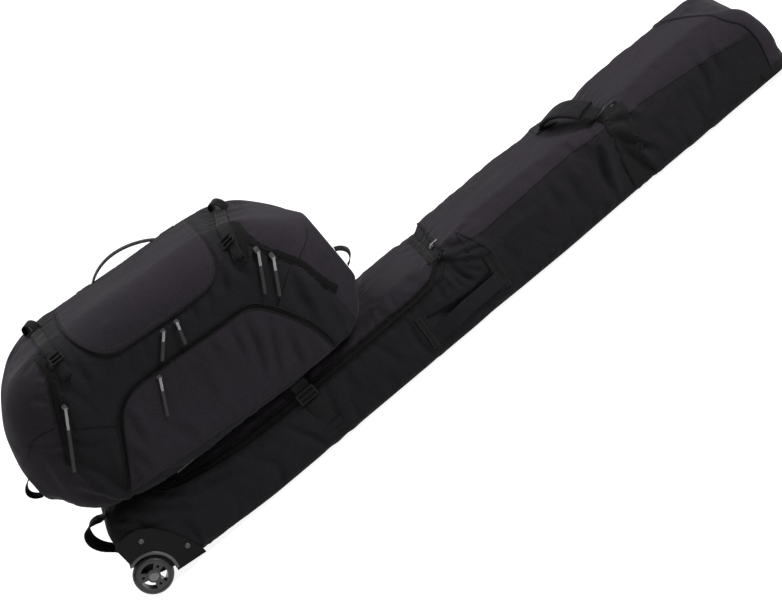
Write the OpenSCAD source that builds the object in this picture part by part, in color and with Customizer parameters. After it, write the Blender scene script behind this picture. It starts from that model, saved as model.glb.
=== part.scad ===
// Wheeled ski bag with a boot duffel strapped on its wheel half.
// The bag lies on its back on the floor: +X runs from the wheels to the tip, the side with the
// grab handle faces -Y, +Z is up. The origin is under the middle of the whole bag, on the floor.
// Inside the modules x counts from the back of the wheels, z from the floor.

/* [Ski compartment] */
// Distance from the back of the wheels to the end of the tip
ski_len = 1795; // [1760:5:1900]
// Width of the ski compartment
ski_w = 300; // [280:5:320]
// Depth of the lower half, floor to lid
ski_h = 178; // [170:2:190]
// Height of the zip above the floor along the side
zip_z = 140; // [125:5:145]
// Where the lid starts, over the wheel end
lid_start = 165; // [150:5:220]
// Where the lid ends and the closed sleeve begins
lid_end = 945; // [900:5:960]
// Thickness of the padded fabric wall
wall = 4; // [3:0.5:5]

/* [Wheels] */
// Wheel diameter over the tyre
wheel_d = 90; // [80:2:92]
// Wheel width
wheel_w = 26; // [22:1:28]
// Axle diameter
axle_d = 8; // [6:1:10]

/* [Boot duffel] */
// Height of the duffel's top above the floor at its middle
duffel_top = 534; // [500:2:560]
// Distance of the duffel's front wall from the middle of the bag
duffel_front = 190; // [180:2:195]
// Distance of the duffel's back wall from the middle of the bag
duffel_back = 156; // [150:2:170]
// Slope of the duffel's top, the wheel end being the higher one
duffel_slope = 5.5; // [3:0.5:7]

/* [Webbing] */
// Width of the wide webbing
web_w = 38; // [36:1:40]
// Width of the narrow webbing
web_narrow = 25; // [20:1:28]
// Thickness of the webbing
web_t = 2; // [1.6:0.2:2.4]

/* [Hidden] */

$fn = 64;
gap = 0.3;                      // air left between pieces that lie on each other
seat = 2;                       // air between the lid and the duffel on it, for the zip tapes
skirt_z = ski_h - 12;           // lower edge of the duffel, a little down the bag's sides
step_h = ski_h + 4;             // depth of the closed sleeve
step_x = lid_end + 23;          // where the sleeve's fabric steps up
tail_x = 20;                    // wheel end wall
tail_h = ski_h + 28;            // height of the wheel end
nose_len = 95;                  // rounded part of the tip
wheel_r = wheel_d / 2;
axle_x = wheel_r;
track = ski_w / 2 + 2;          // outer face of each wheel, from the middle
well_r = wheel_r + 7;           // wheel arch
well_depth = wheel_w + 8;
skin = 2;                       // thickness of the sewn-on panels
loop_out = 20;                  // how far the haul loops stand out
duffel_x0 = -22;                // duffel's wheel end
duffel_x1 = 784;                // duffel's other end
duffel_mid = 415;               // middle of the duffel's top
pocket_depth = 9;
tip_handle_out = 12;            // how far the tip handle stands out beyond the tip
x_low = duffel_x0 - 0.2 - loop_out;
x_high = ski_len + tip_handle_out;
pull_out = 6.9;                 // how far a pull stands out in front of its slider's seat
y_low = -(duffel_front + pocket_depth + 0.2 + pull_out);
y_high = ski_w / 2 + 9;

web_col = "#17171a";
fabric_col = "#2b292e";
panel_col = "#343038";
plastic_col = "#202124";

// ---- helpers -------------------------------------------------------------------------------
// Places everything so that the origin is under the middle of the bag
module placed() { translate([-(x_low + x_high) / 2, -(y_low + y_high) / 2, 0]) children(); }

// A 2D shape drawn in Y and Z, from x0 to x1
module along_x(x0, x1) { translate([x0, 0, 0]) rotate([90, 0, 90]) linear_extrude(x1 - x0) children(); }

// A 2D shape drawn in X and Z, from y0 to y1
module along_y(y0, y1) { translate([0, y1, 0]) rotate([90, 0, 0]) linear_extrude(y1 - y0) children(); }

// A box from its low corner to its high corner
module box(low, high) { translate(low) cube(high - low); }

// A disc or ring whose axis lies along Y
module disc_y(x, z, y0, y1, r) { translate([x, y1, z]) rotate([90, 0, 0]) cylinder(h = y1 - y0, r = r); }

// Both halves of a left-right pair
module both_sides() { children(); mirror([0, 1, 0]) children(); }

function arc(x, y, rx, ry, a0, a1, n) =
  [for (i = [0 : n]) let (a = a0 + (a1 - a0) * i / n) [x + rx * cos(a), y + ry * sin(a)]];

// Points of a strip of width w that follows a path
function strip(path, w) =
  let (n = len(path),
       side = [for (i = [0 : n - 1])
         let (d = path[min(i + 1, n - 1)] - path[max(i - 1, 0)], l = norm(d)) [-d.y, d.x] * w / (2 * l)])
  concat([for (i = [0 : n - 1]) path[i] + side[i]], [for (i = [n - 1 : -1 : 0]) path[i] - side[i]]);

// Strap that bows out between two flat feet: chord c, height h, thickness t, foot length f
function bow(c, h, t, f, n = 16) = let (rise = [for (i = [0 : n]) (h - t) * sin(180 * i / n)])
  concat([[-f, 0], [c + f, 0]], [[c + f, t]], [for (i = [n : -1 : 0]) [c * i / n, t + rise[i]]], [[-f, t]]);
function bow_gap(c, h, t, n = 16) =
  [for (i = [0 : n]) [c * i / n, i == 0 || i == n ? -1 : (h - t) * sin(180 * i / n)]];
module bow_shape(c, h, t, f) {
  difference() {
    polygon(bow(c, h, t, f));
    polygon(bow_gap(c, h, t));
  }
}

// ---- ski compartment -----------------------------------------------------------------------
function body_section(half_w, low, high, r_top, r_low) = concat(
  arc(half_w - r_low, low + r_low, r_low, r_low, -90, 0, 5),
  arc(half_w - r_top, high - r_top, r_top, r_top, 0, 90, 8),
  arc(-half_w + r_top, high - r_top, r_top, r_top, 90, 180, 8),
  arc(-half_w + r_low, low + r_low, r_low, r_low, 180, 270, 5));

// Side outline of the ski compartment, g larger all round
function body_profile(g) = concat(
  [[tail_x - g, 60], [tail_x - g, tail_h - 50], [tail_x + 14, tail_h - 14 + g], [tail_x + 45, tail_h + g],
   [lid_start - 55, tail_h - 2 + g], [lid_start + 40, ski_h + g], [step_x, ski_h + g], [step_x + 6, step_h + g]],
  arc(ski_len - nose_len, step_h / 2, nose_len + g, step_h / 2 + g, 90, -90, 12),
  [[420, -g], [250, 7 - g], [150, 13 - g], [100, 20 - g], [tail_x + 20 - g, 35 - g]]);

// Plan outline of the ski compartment
function body_plan(g) = let (hw = ski_w / 2 + g, r = 45)
  concat(arc(tail_x + r - g, -hw + r, r, r, 180, 270, 6), arc(ski_len - r + g, -hw + r, r, r, -90, 0, 6),
         arc(ski_len - r + g, hw - r, r, r, 0, 90, 6), arc(tail_x + r - g, hw - r, r, r, 90, 180, 6));

module body_solid(g = 0) {
  intersection() {
    union() {
      along_x(0, lid_start + 40) polygon(body_section(ski_w / 2 + g, -g, tail_h + g, 50, 22));
      along_x(lid_start + 39, step_x + 3) polygon(body_section(ski_w / 2 + g, -g, ski_h + g, 46, 22));
      along_x(step_x + 2, ski_len + 5) polygon(body_section(ski_w / 2 + g, -g, step_h + g, 46, 22));
    }
    along_y(-ski_w, ski_w) polygon(body_profile(g));
    translate([0, 0, -5]) linear_extrude(tail_h + 20) polygon(body_plan(g));
  }
}

// Region of the lid: its outline, g larger at the zip
module lid_zone(g) {
  r = 60;
  along_y(-ski_w, ski_w) polygon(concat(
    [[lid_start - g, 400]], arc(lid_start + r, zip_z + r, r + g, r + g, 180, 270, 10),
    arc(lid_end - r, zip_z + r, r + g, r + g, -90, 0, 10), [[lid_end + g, 400]]));
}

module wheel_wells(r) {
  both_sides() disc_y(axle_x, wheel_r, -ski_w, -track + well_depth, r);
}

module roller_shell() {
  color(fabric_col) placed() difference() {
    body_solid();
    body_solid(-wall);
    lid_zone(gap);
    wheel_wells(well_r + 3 + gap);
    both_sides() disc_y(axle_x, wheel_r, -ski_w, -track + well_depth + 9, 12);
  }
}

module roller_lid() {
  color(panel_col) placed() difference() {
    intersection() { body_solid(); lid_zone(-gap); }
    body_solid(-wall);
  }
}

// Zip tape sewn on the rim of the tray and the sleeve; the far side has none, it is the fold
tape_w = 11;
tape_t = 1.6;
module zip_tape(g_in, g_out) {
  difference() {
    intersection() { body_solid(tape_t); lid_zone(g_out); box([0, -ski_w, 0], [ski_len, ski_w / 2 - 40, 400]); }
    body_solid(0.02);
    lid_zone(g_in);
  }
}
module tray_zip_tape() { color(web_col) placed() zip_tape(gap, tape_w); }
module lid_zip_tape() { color(web_col) placed() zip_tape(-tape_w, -gap); }

floor_top = wall + 3.5;
board_x = 425;                  // the floor starts to rise towards the wheels here
module base_board() {
  color("#3c3c3c") placed() box([board_x, -ski_w / 2 + 28, wall + 0.2], [900, ski_w / 2 - 28, floor_top]);
}
module floor_pad() {
  color("#4a4a4e") placed()
    box([board_x, -ski_w / 2 + 20, floor_top + 0.2], [ski_len - 130, ski_w / 2 - 20, floor_top + 6]);
}
module tail_board() {
  color("#3c3c3c") placed() box([tail_x + wall + 0.5, -68, 60], [tail_x + wall + 3.5, 68, tail_h - 50]);
}

// Straps that hold the skis down inside, lying open on the pad
ski_strap_x = [470, 860];
module ski_straps() {
  color(web_col) placed() for (x = ski_strap_x)
    box([x - web_w / 2, -ski_w / 2 + 16, floor_top + 6.2], [x + web_w / 2, ski_w / 2 - 16, floor_top + 8.2]);
}
module ski_strap_buckles() {
  color(plastic_col) placed() for (x = ski_strap_x) difference() {
    box([x - 24, -20, floor_top + 8.4], [x + 24, 20, floor_top + 14]);
    for (y = [-14, 9]) box([x - 19, y, floor_top + 8], [x + 19, y + 5, floor_top + 15]);
  }
}

module tip_cap() {
  color(panel_col) placed() difference() {
    body_solid(skin);
    body_solid(0.05);
    along_y(-ski_w, ski_w)
      polygon([[0, -20], [ski_len - 48, -20], [ski_len - 34, 90], [ski_len - 85, 230], [0, 230]]);
    box([0, -ski_w, -10], [ski_len + 50, ski_w, 0]);
  }
}

// Webbing round the tip from side to side, standing off at its middle
tip_strap = [[ski_len - 72, -ski_w / 2 - 4.4], [ski_len - 48, -ski_w / 2 - 4.8], [ski_len - 32, -ski_w / 2 - 4.4],
  [ski_len - 20, -ski_w / 2 - 1], [ski_len - 7, -ski_w / 2 + 12], [ski_len + 2, -ski_w / 2 + 32],
  [ski_len + 6, -92],
  [ski_len + tip_handle_out - 1.5, -50], [ski_len + tip_handle_out - 1.5, 0]];
module tip_handle() {
  color(web_col) placed() both_sides()
    translate([0, 0, 12]) linear_extrude(web_narrow) polygon(strip(tip_strap, 3));
}

// Grab loop from the wheel end's shoulder down to its wall, near the corner with the near wheel
tail_strap = [
  [tail_x + 32, tail_h - 4.5], [tail_x + 19, tail_h - 8], [tail_x + 8, tail_h - 3], [tail_x - 6, tail_h - 1],
  [tail_x - 17, tail_h - 6], [tail_x - 25, tail_h - 17], [tail_x - 28, tail_h - 31], [tail_x - 26, tail_h - 46],
  [tail_x - 18, tail_h - 62], [tail_x - 8, tail_h - 74], [tail_x - 3, tail_h - 84], [tail_x - 1.5, tail_h - 94],
  [tail_x - 1.5, tail_h - 104]];
module tail_loop() {
  color(web_col) placed() along_y(-104, -104 + web_w) polygon(strip(tail_strap, web_t));
}

// ---- wheels --------------------------------------------------------------------------------
module wheel_housing() {
  color(plastic_col) difference() {
    union() {
      // side plate on the corner of the bag
      intersection() {
        along_y(-ski_w / 2 - 3, -ski_w / 2 - gap) polygon([[tail_x + 6, 30], [tail_x + 4, 150], [60, 157],
          [88, 151], [112, 133], [132, 104], [152, 62], [163, 20], [163, 12], [96, 20]]);
      }
      // arch over the wheel and the wall behind it
      intersection() {
        difference() {
          disc_y(axle_x, wheel_r, -ski_w / 2 - 1, -track + well_depth, well_r + 3);
          disc_y(axle_x, wheel_r, -ski_w, -track + well_depth - 3, well_r);
        }
        along_y(-ski_w, 0) polygon([[tail_x, 60], [tail_x, 200], [200, 200], [200, 15], [60, 28]]);
      }
      disc_y(axle_x, wheel_r, -track + wheel_w + 1, -track + well_depth - 1, 11);
    }
    disc_y(axle_x, wheel_r, -ski_w, 0, axle_d / 2 + 0.05);
    disc_y(axle_x, wheel_r, -ski_w, -ski_w / 2 + 1, well_r);
    for (p = rivet_points) disc_y(p.x, p.y, -ski_w, 0, 2.6);
  }
}
rivet_points = [[76, 125], [142, 50]];
module wheel_housing_near() { placed() wheel_housing(); }
module wheel_housing_far() { placed() mirror([0, 1, 0]) wheel_housing(); }

module housing_rivets() {
  color("#2c2d30") placed() both_sides() for (p = rivet_points) {
    translate([p.x, -ski_w / 2 - 3.1, p.y]) rotate([90, 0, 0]) cylinder(h = 1.8, r1 = 6, r2 = 4.5);
    disc_y(p.x, p.y, -ski_w / 2 - 3.2, -ski_w / 2 - gap, 2.5);
  }
}

module axle() {
  disc_y(axle_x, wheel_r, -track - 1.9, -track + 0.6, 9);
  disc_y(axle_x, wheel_r, -track, -track + well_depth + 8, axle_d / 2);
}
module axle_near() { color("silver") placed() axle(); }
module axle_far() { color("silver") placed() mirror([0, 1, 0]) axle(); }
module axle_nuts() {
  color("silver") placed() both_sides() difference() {
    translate([axle_x, -track + well_depth + 6.7, wheel_r]) rotate([90, 0, 0]) cylinder(h = 6.5, r = 7, $fn = 6);
    disc_y(axle_x, wheel_r, -ski_w, 0, axle_d / 2 + 0.05);
  }
}

bearing_r = 11;
bearing_w = 7;
rim_r = wheel_r - 11;
module wheel_hub() {
  color("#1b1b1e") difference() {
    disc_y(axle_x, wheel_r, -track + 1, -track + wheel_w - 1, rim_r);
    disc_y(axle_x, wheel_r, -ski_w, 0, axle_d / 2 + 2);
    for (y = [-track + 1, -track + wheel_w - 1 - bearing_w])
      disc_y(axle_x, wheel_r, y - 0.01, y + bearing_w + 0.01, bearing_r);
    // three windows between the spokes, and a lightening hole in each spoke
    for (i = [0 : 2]) {
      translate([axle_x, 0, wheel_r]) rotate([0, 120 * i + 30, 0]) {
        along_y(-ski_w, 0) polygon(concat(arc(0, 0, rim_r - 4, rim_r - 4, -38, 38, 8),
                                          arc(0, 0, bearing_r + 4, bearing_r + 4, 30, -30, 5)));
        translate([-23, 0, 0]) rotate([90, 0, 0]) cylinder(h = ski_w, r = 3.2);
      }
    }
  }
}
module tyre() {
  color("#131315") translate([axle_x, -track, wheel_r]) rotate([-90, 0, 0]) rotate_extrude()
    polygon([[rim_r, 1], [rim_r + 2, 0.4], [wheel_r - 6, 0], [wheel_r - 1.5, 5], [wheel_r, wheel_w / 2],
             [wheel_r - 1.5, wheel_w - 5], [wheel_r - 6, wheel_w], [rim_r + 2, wheel_w - 0.4],
             [rim_r, wheel_w - 1]]);
}
module bearings() {
  color("lightgrey") for (y = [-track + 1, -track + wheel_w - 1 - bearing_w]) difference() {
    disc_y(axle_x, wheel_r, y, y + bearing_w, bearing_r);
    disc_y(axle_x, wheel_r, -ski_w, 0, axle_d / 2 + 0.05);
  }
}
module wheel_hub_near() { placed() wheel_hub(); }
module wheel_hub_far() { placed() mirror([0, 1, 0]) wheel_hub(); }
module tyre_near() { placed() tyre(); }
module tyre_far() { placed() mirror([0, 1, 0]) tyre(); }
module bearings_near() { placed() bearings(); }
module bearings_far() { placed() mirror([0, 1, 0]) bearings(); }

// ---- handles and straps on the ski compartment ----------------------------------------------
side_handle_x = [838, 1024];
side_handle_z = [38, 80];
module side_handle() {
  color(fabric_col) placed() translate([side_handle_x[0], -ski_w / 2 - 2.6, side_handle_z[0]]) mirror([0, 1, 0])
    linear_extrude(side_handle_z[1] - side_handle_z[0]) bow_shape(side_handle_x[1] - side_handle_x[0], 16, 3, 8);
}
module side_handle_patches() {
  color(panel_col) placed() for (x = [side_handle_x[0] - 16, side_handle_x[1] - 14])
    box([x, -ski_w / 2 - 2.4, side_handle_z[0] - 4], [x + 30, -ski_w / 2 - gap, side_handle_z[1] + 32]);
}

// Webbing up each side of the bag, the near one further towards the tip
carry_near_x = 1399;
carry_far_x = 1317;
carry_web = 58;
module girth_strap(x, y0, y1) {
  intersection() {
    difference() { body_solid(web_t + gap); body_solid(gap); }
    box([x - carry_web / 2, y0, 8], [x + carry_web / 2, y1, 400]);
  }
}
module carry_straps() {
  color(web_col) placed() {
    girth_strap(carry_near_x, -ski_w, -96);
    girth_strap(carry_far_x, 44, ski_w);
  }
}

// The handle bridges the two straps diagonally over the top
carry_a = [carry_near_x, -108];
carry_b = [carry_far_x, 58];
carry_len = norm(carry_b - carry_a);
module on_carry_line() {
  d = carry_b - carry_a;
  translate([carry_a.x, carry_a.y, step_h + web_t + gap + 0.1]) rotate([90, 0, atan2(d.y, d.x)]) children();
}
carry_h = 34;
module carry_handle() {
  color(web_col) placed() on_carry_line() translate([0, 0, -web_w / 2]) linear_extrude(web_w)
    bow_shape(carry_len, carry_h, 3, 8);
}
module carry_grip() {
  color(fabric_col) placed() on_carry_line() difference() {
    translate([0, 0, -web_w / 2 - 7]) linear_extrude(web_w + 14) polygon(grip_outline(5, 0.28));
    translate([0, 0, -web_w / 2 - gap]) linear_extrude(web_w + 2 * gap) polygon(grip_outline(gap, 0.2));
  }
}
// Slice of the bow's outline, t thicker on both faces, from the fraction u of its length
function grip_outline(t, u, n = 10) =
  let (h = carry_h, s = [for (i = [0 : n]) u + (1 - 2 * u) * i / n])
  concat([for (f = s) [carry_len * f, 3 + (h - 3) * sin(180 * f) + t]],
         [for (i = [n : -1 : 0]) [carry_len * s[i], (h - 3) * sin(180 * s[i]) - t]]);

slider_y = -64;
slider_l = 13;
module roller_slider() {
  color("#5b5b60") placed() {
    box([lid_end + 1, slider_y - slider_l / 2, ski_h + tape_t + gap],
        [lid_end + 11, slider_y + slider_l / 2, ski_h + tape_t + 4]);
    box([lid_end + 4.5, slider_y - 4, ski_h + tape_t + 3.9], [lid_end + 7.5, slider_y + 4, ski_h + tape_t + 5.4]);
  }
}
module roller_pull() {
  color("#5b5b60") placed() {
    box([lid_end + 5, slider_y - 3, step_h + 4.2], [lid_end + 33, slider_y + 3, step_h + 5.8]);
    box([lid_end + 32, slider_y - 4, step_h + 3.4], [lid_end + 69, slider_y + 4, step_h + 6.6]);
  }
}

// Straps that tie the duffel down: a webbing on the ski compartment and a short one on the duffel
tie_x = 546;
tie_top = 121;
module tie_straps() {
  color(web_col) placed() both_sides()
    box([tie_x - web_w / 2, -ski_w / 2 - 4, 24], [tie_x + web_w / 2, -ski_w / 2 - 2.1, tie_top]);
}
module tie_keepers() {
  color(fabric_col) placed() both_sides() {
    box([tie_x - 24, -ski_w / 2 - 2, 18], [tie_x + 24, -ski_w / 2 - gap, 62]);
    box([tie_x - 24, -ski_w / 2 - 6.4, 40], [tie_x + 24, -ski_w / 2 - 4.2, 56]);
    for (s = [-1, 1])
      box([tie_x + s * 21.5 - 2, -ski_w / 2 - 4.3, 40], [tie_x + s * 21.5 + 2, -ski_w / 2 - 1.9, 56]);
  }
}
module ladder_lock(y, z) {
  color("#26262a") difference() {
    box([tie_x - 23, y, z], [tie_x + 23, y + 4, z + 28]);
    for (dz = [4.5, 16.5]) box([tie_x - 19, y - 1, z + dz], [tie_x + 19, y + 5, z + dz + 7]);
  }
}
lock_y = -ski_w / 2 - 9;
module tie_lock_near() { placed() ladder_lock(lock_y, 126); }
module tie_lock_far() { placed() mirror([0, 1, 0]) ladder_lock(lock_y, 94); }
// Webbing sewn under the duffel's lower edges; the far one ends above the lid's fold
module duffel_ties() {
  color(web_col) placed() {
    tie_tail(-ski_w / 2 - 4.8, tie_top + 3, skirt_z - gap);
    tie_tail(ski_w / 2 + 3, zip_z + 7, skirt_z - gap);
  }
}
module tie_tail(y, low, high) { box([tie_x - web_w / 2, y, low], [tie_x + web_w / 2, y + 1.8, high]); }

// ---- boot duffel ----------------------------------------------------------------------------
// Section across the duffel, in y and in height over its top: front wall, round top, back wall, and the
// bottom, which draws in under both walls
wall_end = -335;
bottom = wall_end - 45;
function duffel_section(g) =
  let (f = -duffel_front - g, b = duffel_back + g, rf = 90, rb = 80)
  concat(arc(f + rf, g - rf, rf, rf, 180, 90, 9), arc(b - rb, g - rb, rb, rb, 90, 0, 8),
         [[b, wall_end - 3 - g], [b - 12, bottom - g], [f + 48, bottom - g], [f, wall_end - g]]);

// Side outline of the duffel, g larger all round
function duffel_profile(g) = [
  [70, 226 - g], [14, 256 - g], [duffel_x0 - g, 296], [duffel_x0 - g, 372], [-12 - g, 420], [6 - g, 466],
  [48 - g, 508 + g], [110, 549 + g], [190, 564 + g], [620, 530 + g], [668, 508 + g], [735, 450 + g], [duffel_x1 + g, 398],
  [duffel_x1 + g, 242], [745, 194 - g], [690, skirt_z + 6 - g], [560, skirt_z - g], [320, skirt_z - g],
  [215, skirt_z + 12 - g], [150, 204 - g]];

function duffel_plan(g) = [
  [duffel_x0 - g, -62], [60, -158 - g], [110, -180 - g], [180, -duffel_front - g], [650, -duffel_front - g],
  [705, -178 - g], [750, -150 - g], [duffel_x1 + g, -66], [duffel_x1 + g, 60], [750, 124 + g],
  [680, duffel_back + g], [130, duffel_back + g], [50, 124 + g], [duffel_x0 - g, 56]];

// Frame on the duffel's sloping top, its origin at the middle of the top
module on_top() { translate([duffel_mid, 0, duffel_top]) rotate([0, duffel_slope, 0]) children(); }

module duffel_solid(g = 0) {
  intersection() {
    on_top() along_x(-520, 520) polygon(duffel_section(g));
    along_y(-260, 220) polygon(duffel_profile(g));
    translate([0, 0, 60]) linear_extrude(560) polygon(duffel_plan(g));
  }
}

// Room that the duffel leaves for the ski compartment under it, g larger all round
module saddle(g) { translate([0, 0, seat - 5]) body_solid(5 + g); }

flap_x = [-172, 180];
flap_front = -58;              // flap's lower edge, in height over the top
flap_back = 58;                // flap's fold
module duffel_shell() {
  color(fabric_col) placed() difference() {
    duffel_solid();
    saddle(0);
    difference() { duffel_solid(-5); saddle(5); }
    // mouth under the flap
    on_top() box([flap_x[0] + 16, -300, flap_front + 18], [flap_x[1] - 16, flap_back - 12, 60]);
  }
}
module duffel_base_board() {
  color("#3c3c3c") placed() box([230, -140, ski_h + seat + 5.3], [690, 138, ski_h + seat + 8]);
}
module boot_divider() {
  color(panel_col) placed() box([398, -150, ski_h + seat + 8.3], [402, 140, 440]);
}

// A layer that lies on the duffel's round top, between x0 and x1 in the top's frame
module top_layer(x0, x1, low, high) {
  difference() {
    along_x(x0, x1) polygon(duffel_section(high));
    along_x(x0 - 1, x1 + 1) polygon(duffel_section(low));
  }
}
flap_t = 4;
module duffel_flap() {
  color(panel_col) placed() on_top() intersection() {
    top_layer(flap_x[0], flap_x[1], 3, 3 + flap_t);
    along_y(-260, flap_back) polygon([
      [flap_x[0], 30], [flap_x[0], flap_front + 62], [flap_x[0] + 16, flap_front + 22],
      [flap_x[0] + 50, flap_front], [flap_x[1] - 26, flap_front], [flap_x[1] - 6, flap_front + 16],
      [flap_x[1], flap_front + 40],
      [flap_x[1], 30]]);
  }
}
module main_zip_tape() {
  color(web_col) placed() on_top() intersection() {
    top_layer(flap_x[0] + 4, flap_x[1] - 4, 0.1, 1.6);
    difference() {
      box([flap_x[0] + 4, -300, flap_front + 6], [flap_x[1] - 4, flap_back - 4, 60]);
      box([flap_x[0] + 16, -301, flap_front + 18], [flap_x[1] - 16, flap_back - 12, 61]);
    }
  }
}

// Haul handle behind the flap, swinging on two sewn anchors
handle_x = [-84, 102];
handle_y = 76;
handle_r = 6;
handle_lift = 12;
handle_h = 38;
module duffel_handle() {
  c = (handle_x[1] - handle_x[0]) / 2;
  r = handle_r;
  color(web_col) placed() on_top() translate([handle_x[0] + c, handle_y, handle_lift]) along_y(-r, r)
    polygon(concat(arc(0, 0, c + r, handle_h + r, 0, 180, 24), arc(-c, 0, r, r, 180, 360, 8),
                   arc(0, 0, c - r, handle_h - r, 180, 0, 24), arc(c, 0, r, r, 180, 360, 8)));
}
module handle_anchors() {
  color(web_col) placed() on_top() for (i = [0, 1]) {
    s = i == 0 ? -1 : 1;
    translate([handle_x[i] + s * (handle_r + 1), 0, 0]) {
      box([min(0, s * 22), handle_y - 10, 0.2], [max(0, s * 22), handle_y + 10, 2.2]);
      box([min(s * 0.2, s * 3.2), handle_y - 7, 0.2], [max(s * 0.2, s * 3.2), handle_y + 7, handle_lift + 6]);
    }
  }
}

// Front pocket: a shallow tray of fabric that folds down on its bottom seam
pocket_x = [140, 652];
function pocket_foot(x) = 213 - (x - 400) * tan(duffel_slope);
pocket_outline = concat([[pocket_x[0], pocket_foot(pocket_x[0])], [222, 334]], arc(282, 382, 30, 26, 150, 90, 4),
  arc(556, 362, 34, 28, 88, 10, 5), [[640, 284], [656, 222], [pocket_x[1], pocket_foot(pocket_x[1])]]);
pocket_mid = [420, 290];
module pocket_shape(k) { polygon([for (p = pocket_outline) pocket_mid + (p - pocket_mid) * k]); }
module front_pocket() {
  color(panel_col) placed() difference() {
    along_y(-duffel_front - pocket_depth, -duffel_front - 1) pocket_shape(1);
    along_y(-duffel_front - pocket_depth + 3, -duffel_front) pocket_shape(0.965);
  }
}

end_zip_right = [[676, 540], [660, 500], [664, 455], [690, 400], [715, 345], [722, 310]];
end_zip_left = [[190, 560], [184, 530], [163, 486], [118, 425], [92, 380], [80, 340]];
module end_zip_tapes() {
  color(web_col) placed() for (path = [end_zip_right, end_zip_left]) intersection() {
    difference() { duffel_solid(tape_t); duffel_solid(0.05); }
    along_y(-260, -60) polygon(strip(path, 16));
  }
}

// Short webbing with a tri-glide over each upper corner beside the flap, ending in a standing loop
corner_x = [-222, 216];
module corner_straps() {
  color(web_col) placed() on_top() for (x = corner_x) {
    intersection() {
      top_layer(x - web_narrow / 2, x + web_narrow / 2, 3, 3 + web_t);
      box([x - web_narrow, -260, -44], [x + web_narrow, -20, 60]);
    }
    translate([0, -13, 3]) along_x(x - web_narrow / 2, x + web_narrow / 2) bow_shape(46, 22, web_t, 8);
  }
}
module tri_glides() {
  color("#26262a") placed() on_top() for (x = corner_x) intersection() {
    top_layer(x - 17, x + 17, 5.2, 8.4);
    difference() {
      box([x - 17, -260, -28], [x + 17, -100, -9]);
      for (z = [-25, -16]) box([x - 12.5, -261, z], [x + 12.5, -99, z + 4]);
    }
  }
}

// Loops on the duffel's ends, bowing out along +X
loop_span = 50;
module haul_loop(y) {
  translate([0, y + web_narrow / 2, -loop_span / 2]) rotate([90, 0, 0]) mirror([1, 0, 0]) rotate([0, 0, 90])
    linear_extrude(web_narrow) bow_shape(loop_span, loop_out, web_t, 10);
}
module haul_loop_right() {
  color(web_col) placed() translate([duffel_x1 + 0.2, 0, 289]) haul_loop(-44);
}
module haul_loop_left() {
  color(web_col) placed() translate([duffel_x0 - 0.2, 0, 334]) mirror([1, 0, 0]) haul_loop(-44);
}

// ---- zip sliders and pulls of the duffel ------------------------------------------------------
module slider_body() { color("#6a6a70") box([-5, -4, -4], [5, 0, 7]); }
// A pull of length l that leans towards the wheel end: metal tab and moulded cord end.
// Its pivot is at the origin, in front of the slider.
module hanging_pull(l, lean) {
  color("#6a6a70") rotate([0, lean, 0]) {
    box([-2.6, -5.9, -l * 0.32], [2.6, -4.4, 2.5]);
    box([-3.6, -pull_out, -l], [3.6, -3.7, -l * 0.32 + 0.1]);
  }
}
module at_front(p, y) { placed() translate([p.x, y, p.y]) children(); }
main_a = [413, 462];
main_b = [446, 459];
main_y = -duffel_front - 5.6;
module main_slider_a() { at_front(main_a, main_y) slider_body(); }
module main_slider_b() { at_front(main_b, main_y) slider_body(); }
module main_pull_a() { at_front(main_a, main_y) hanging_pull(62, 43); }
module main_pull_b() { at_front(main_b, main_y) hanging_pull(50, 19); }

pocket_pull_at = [344, 392];
pocket_y = -duffel_front - pocket_depth - 0.2;
module pocket_slider() { at_front(pocket_pull_at, pocket_y) slider_body(); }
module pocket_pull() { at_front(pocket_pull_at, pocket_y) hanging_pull(84, 29); }

end_y = -duffel_front - tape_t - 0.2;
end_left = [158, 470];
end_right_a = [666, 462];
end_right_b = [682, 432];
module end_sliders() { for (p = [end_left, end_right_a, end_right_b]) at_front(p, end_y) slider_body(); }
module end_pull_left() { at_front(end_left, end_y) hanging_pull(140, 33); }
module end_pull_right_a() { at_front(end_right_a, end_y) hanging_pull(90, 30); }
module end_pull_right_b() { at_front(end_right_b, end_y) hanging_pull(84, 30); }

roller_shell();
roller_lid();
tray_zip_tape();
lid_zip_tape();
base_board();
floor_pad();
tail_board();
ski_straps();
ski_strap_buckles();
tip_cap();
tip_handle();
tail_loop();
wheel_housing_near();
wheel_housing_far();
housing_rivets();
axle_near();
axle_far();
axle_nuts();
wheel_hub_near();
wheel_hub_far();
tyre_near();
tyre_far();
bearings_near();
bearings_far();
side_handle();
side_handle_patches();
carry_straps();
carry_handle();
carry_grip();
roller_slider();
roller_pull();
tie_straps();
tie_keepers();
tie_lock_far();
tie_lock_near();
duffel_ties();
duffel_shell();
duffel_base_board();
boot_divider();
duffel_flap();
main_zip_tape();
duffel_handle();
handle_anchors();
front_pocket();
end_zip_tapes();
corner_straps();
tri_glides();
haul_loop_right();
haul_loop_left();
main_slider_a();
main_slider_b();
main_pull_a();
main_pull_b();
pocket_slider();
pocket_pull();
end_sliders();
end_pull_left();
end_pull_right_a();
end_pull_right_b();
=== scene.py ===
"""Wheeled ski bag with a boot duffel tied on its wheel half: soft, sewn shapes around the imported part.

Shapes are worked out in millimetres in the bag's own frame: x from the back of the wheels towards the tip,
y from the middle (the grab handle's side is negative), z from the floor.
"""
import math

import bmesh
import bpy
import numpy as np
from mathutils import Matrix, Vector
from mathutils.bvhtree import BVHTree
from mathutils.kdtree import KDTree


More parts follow.
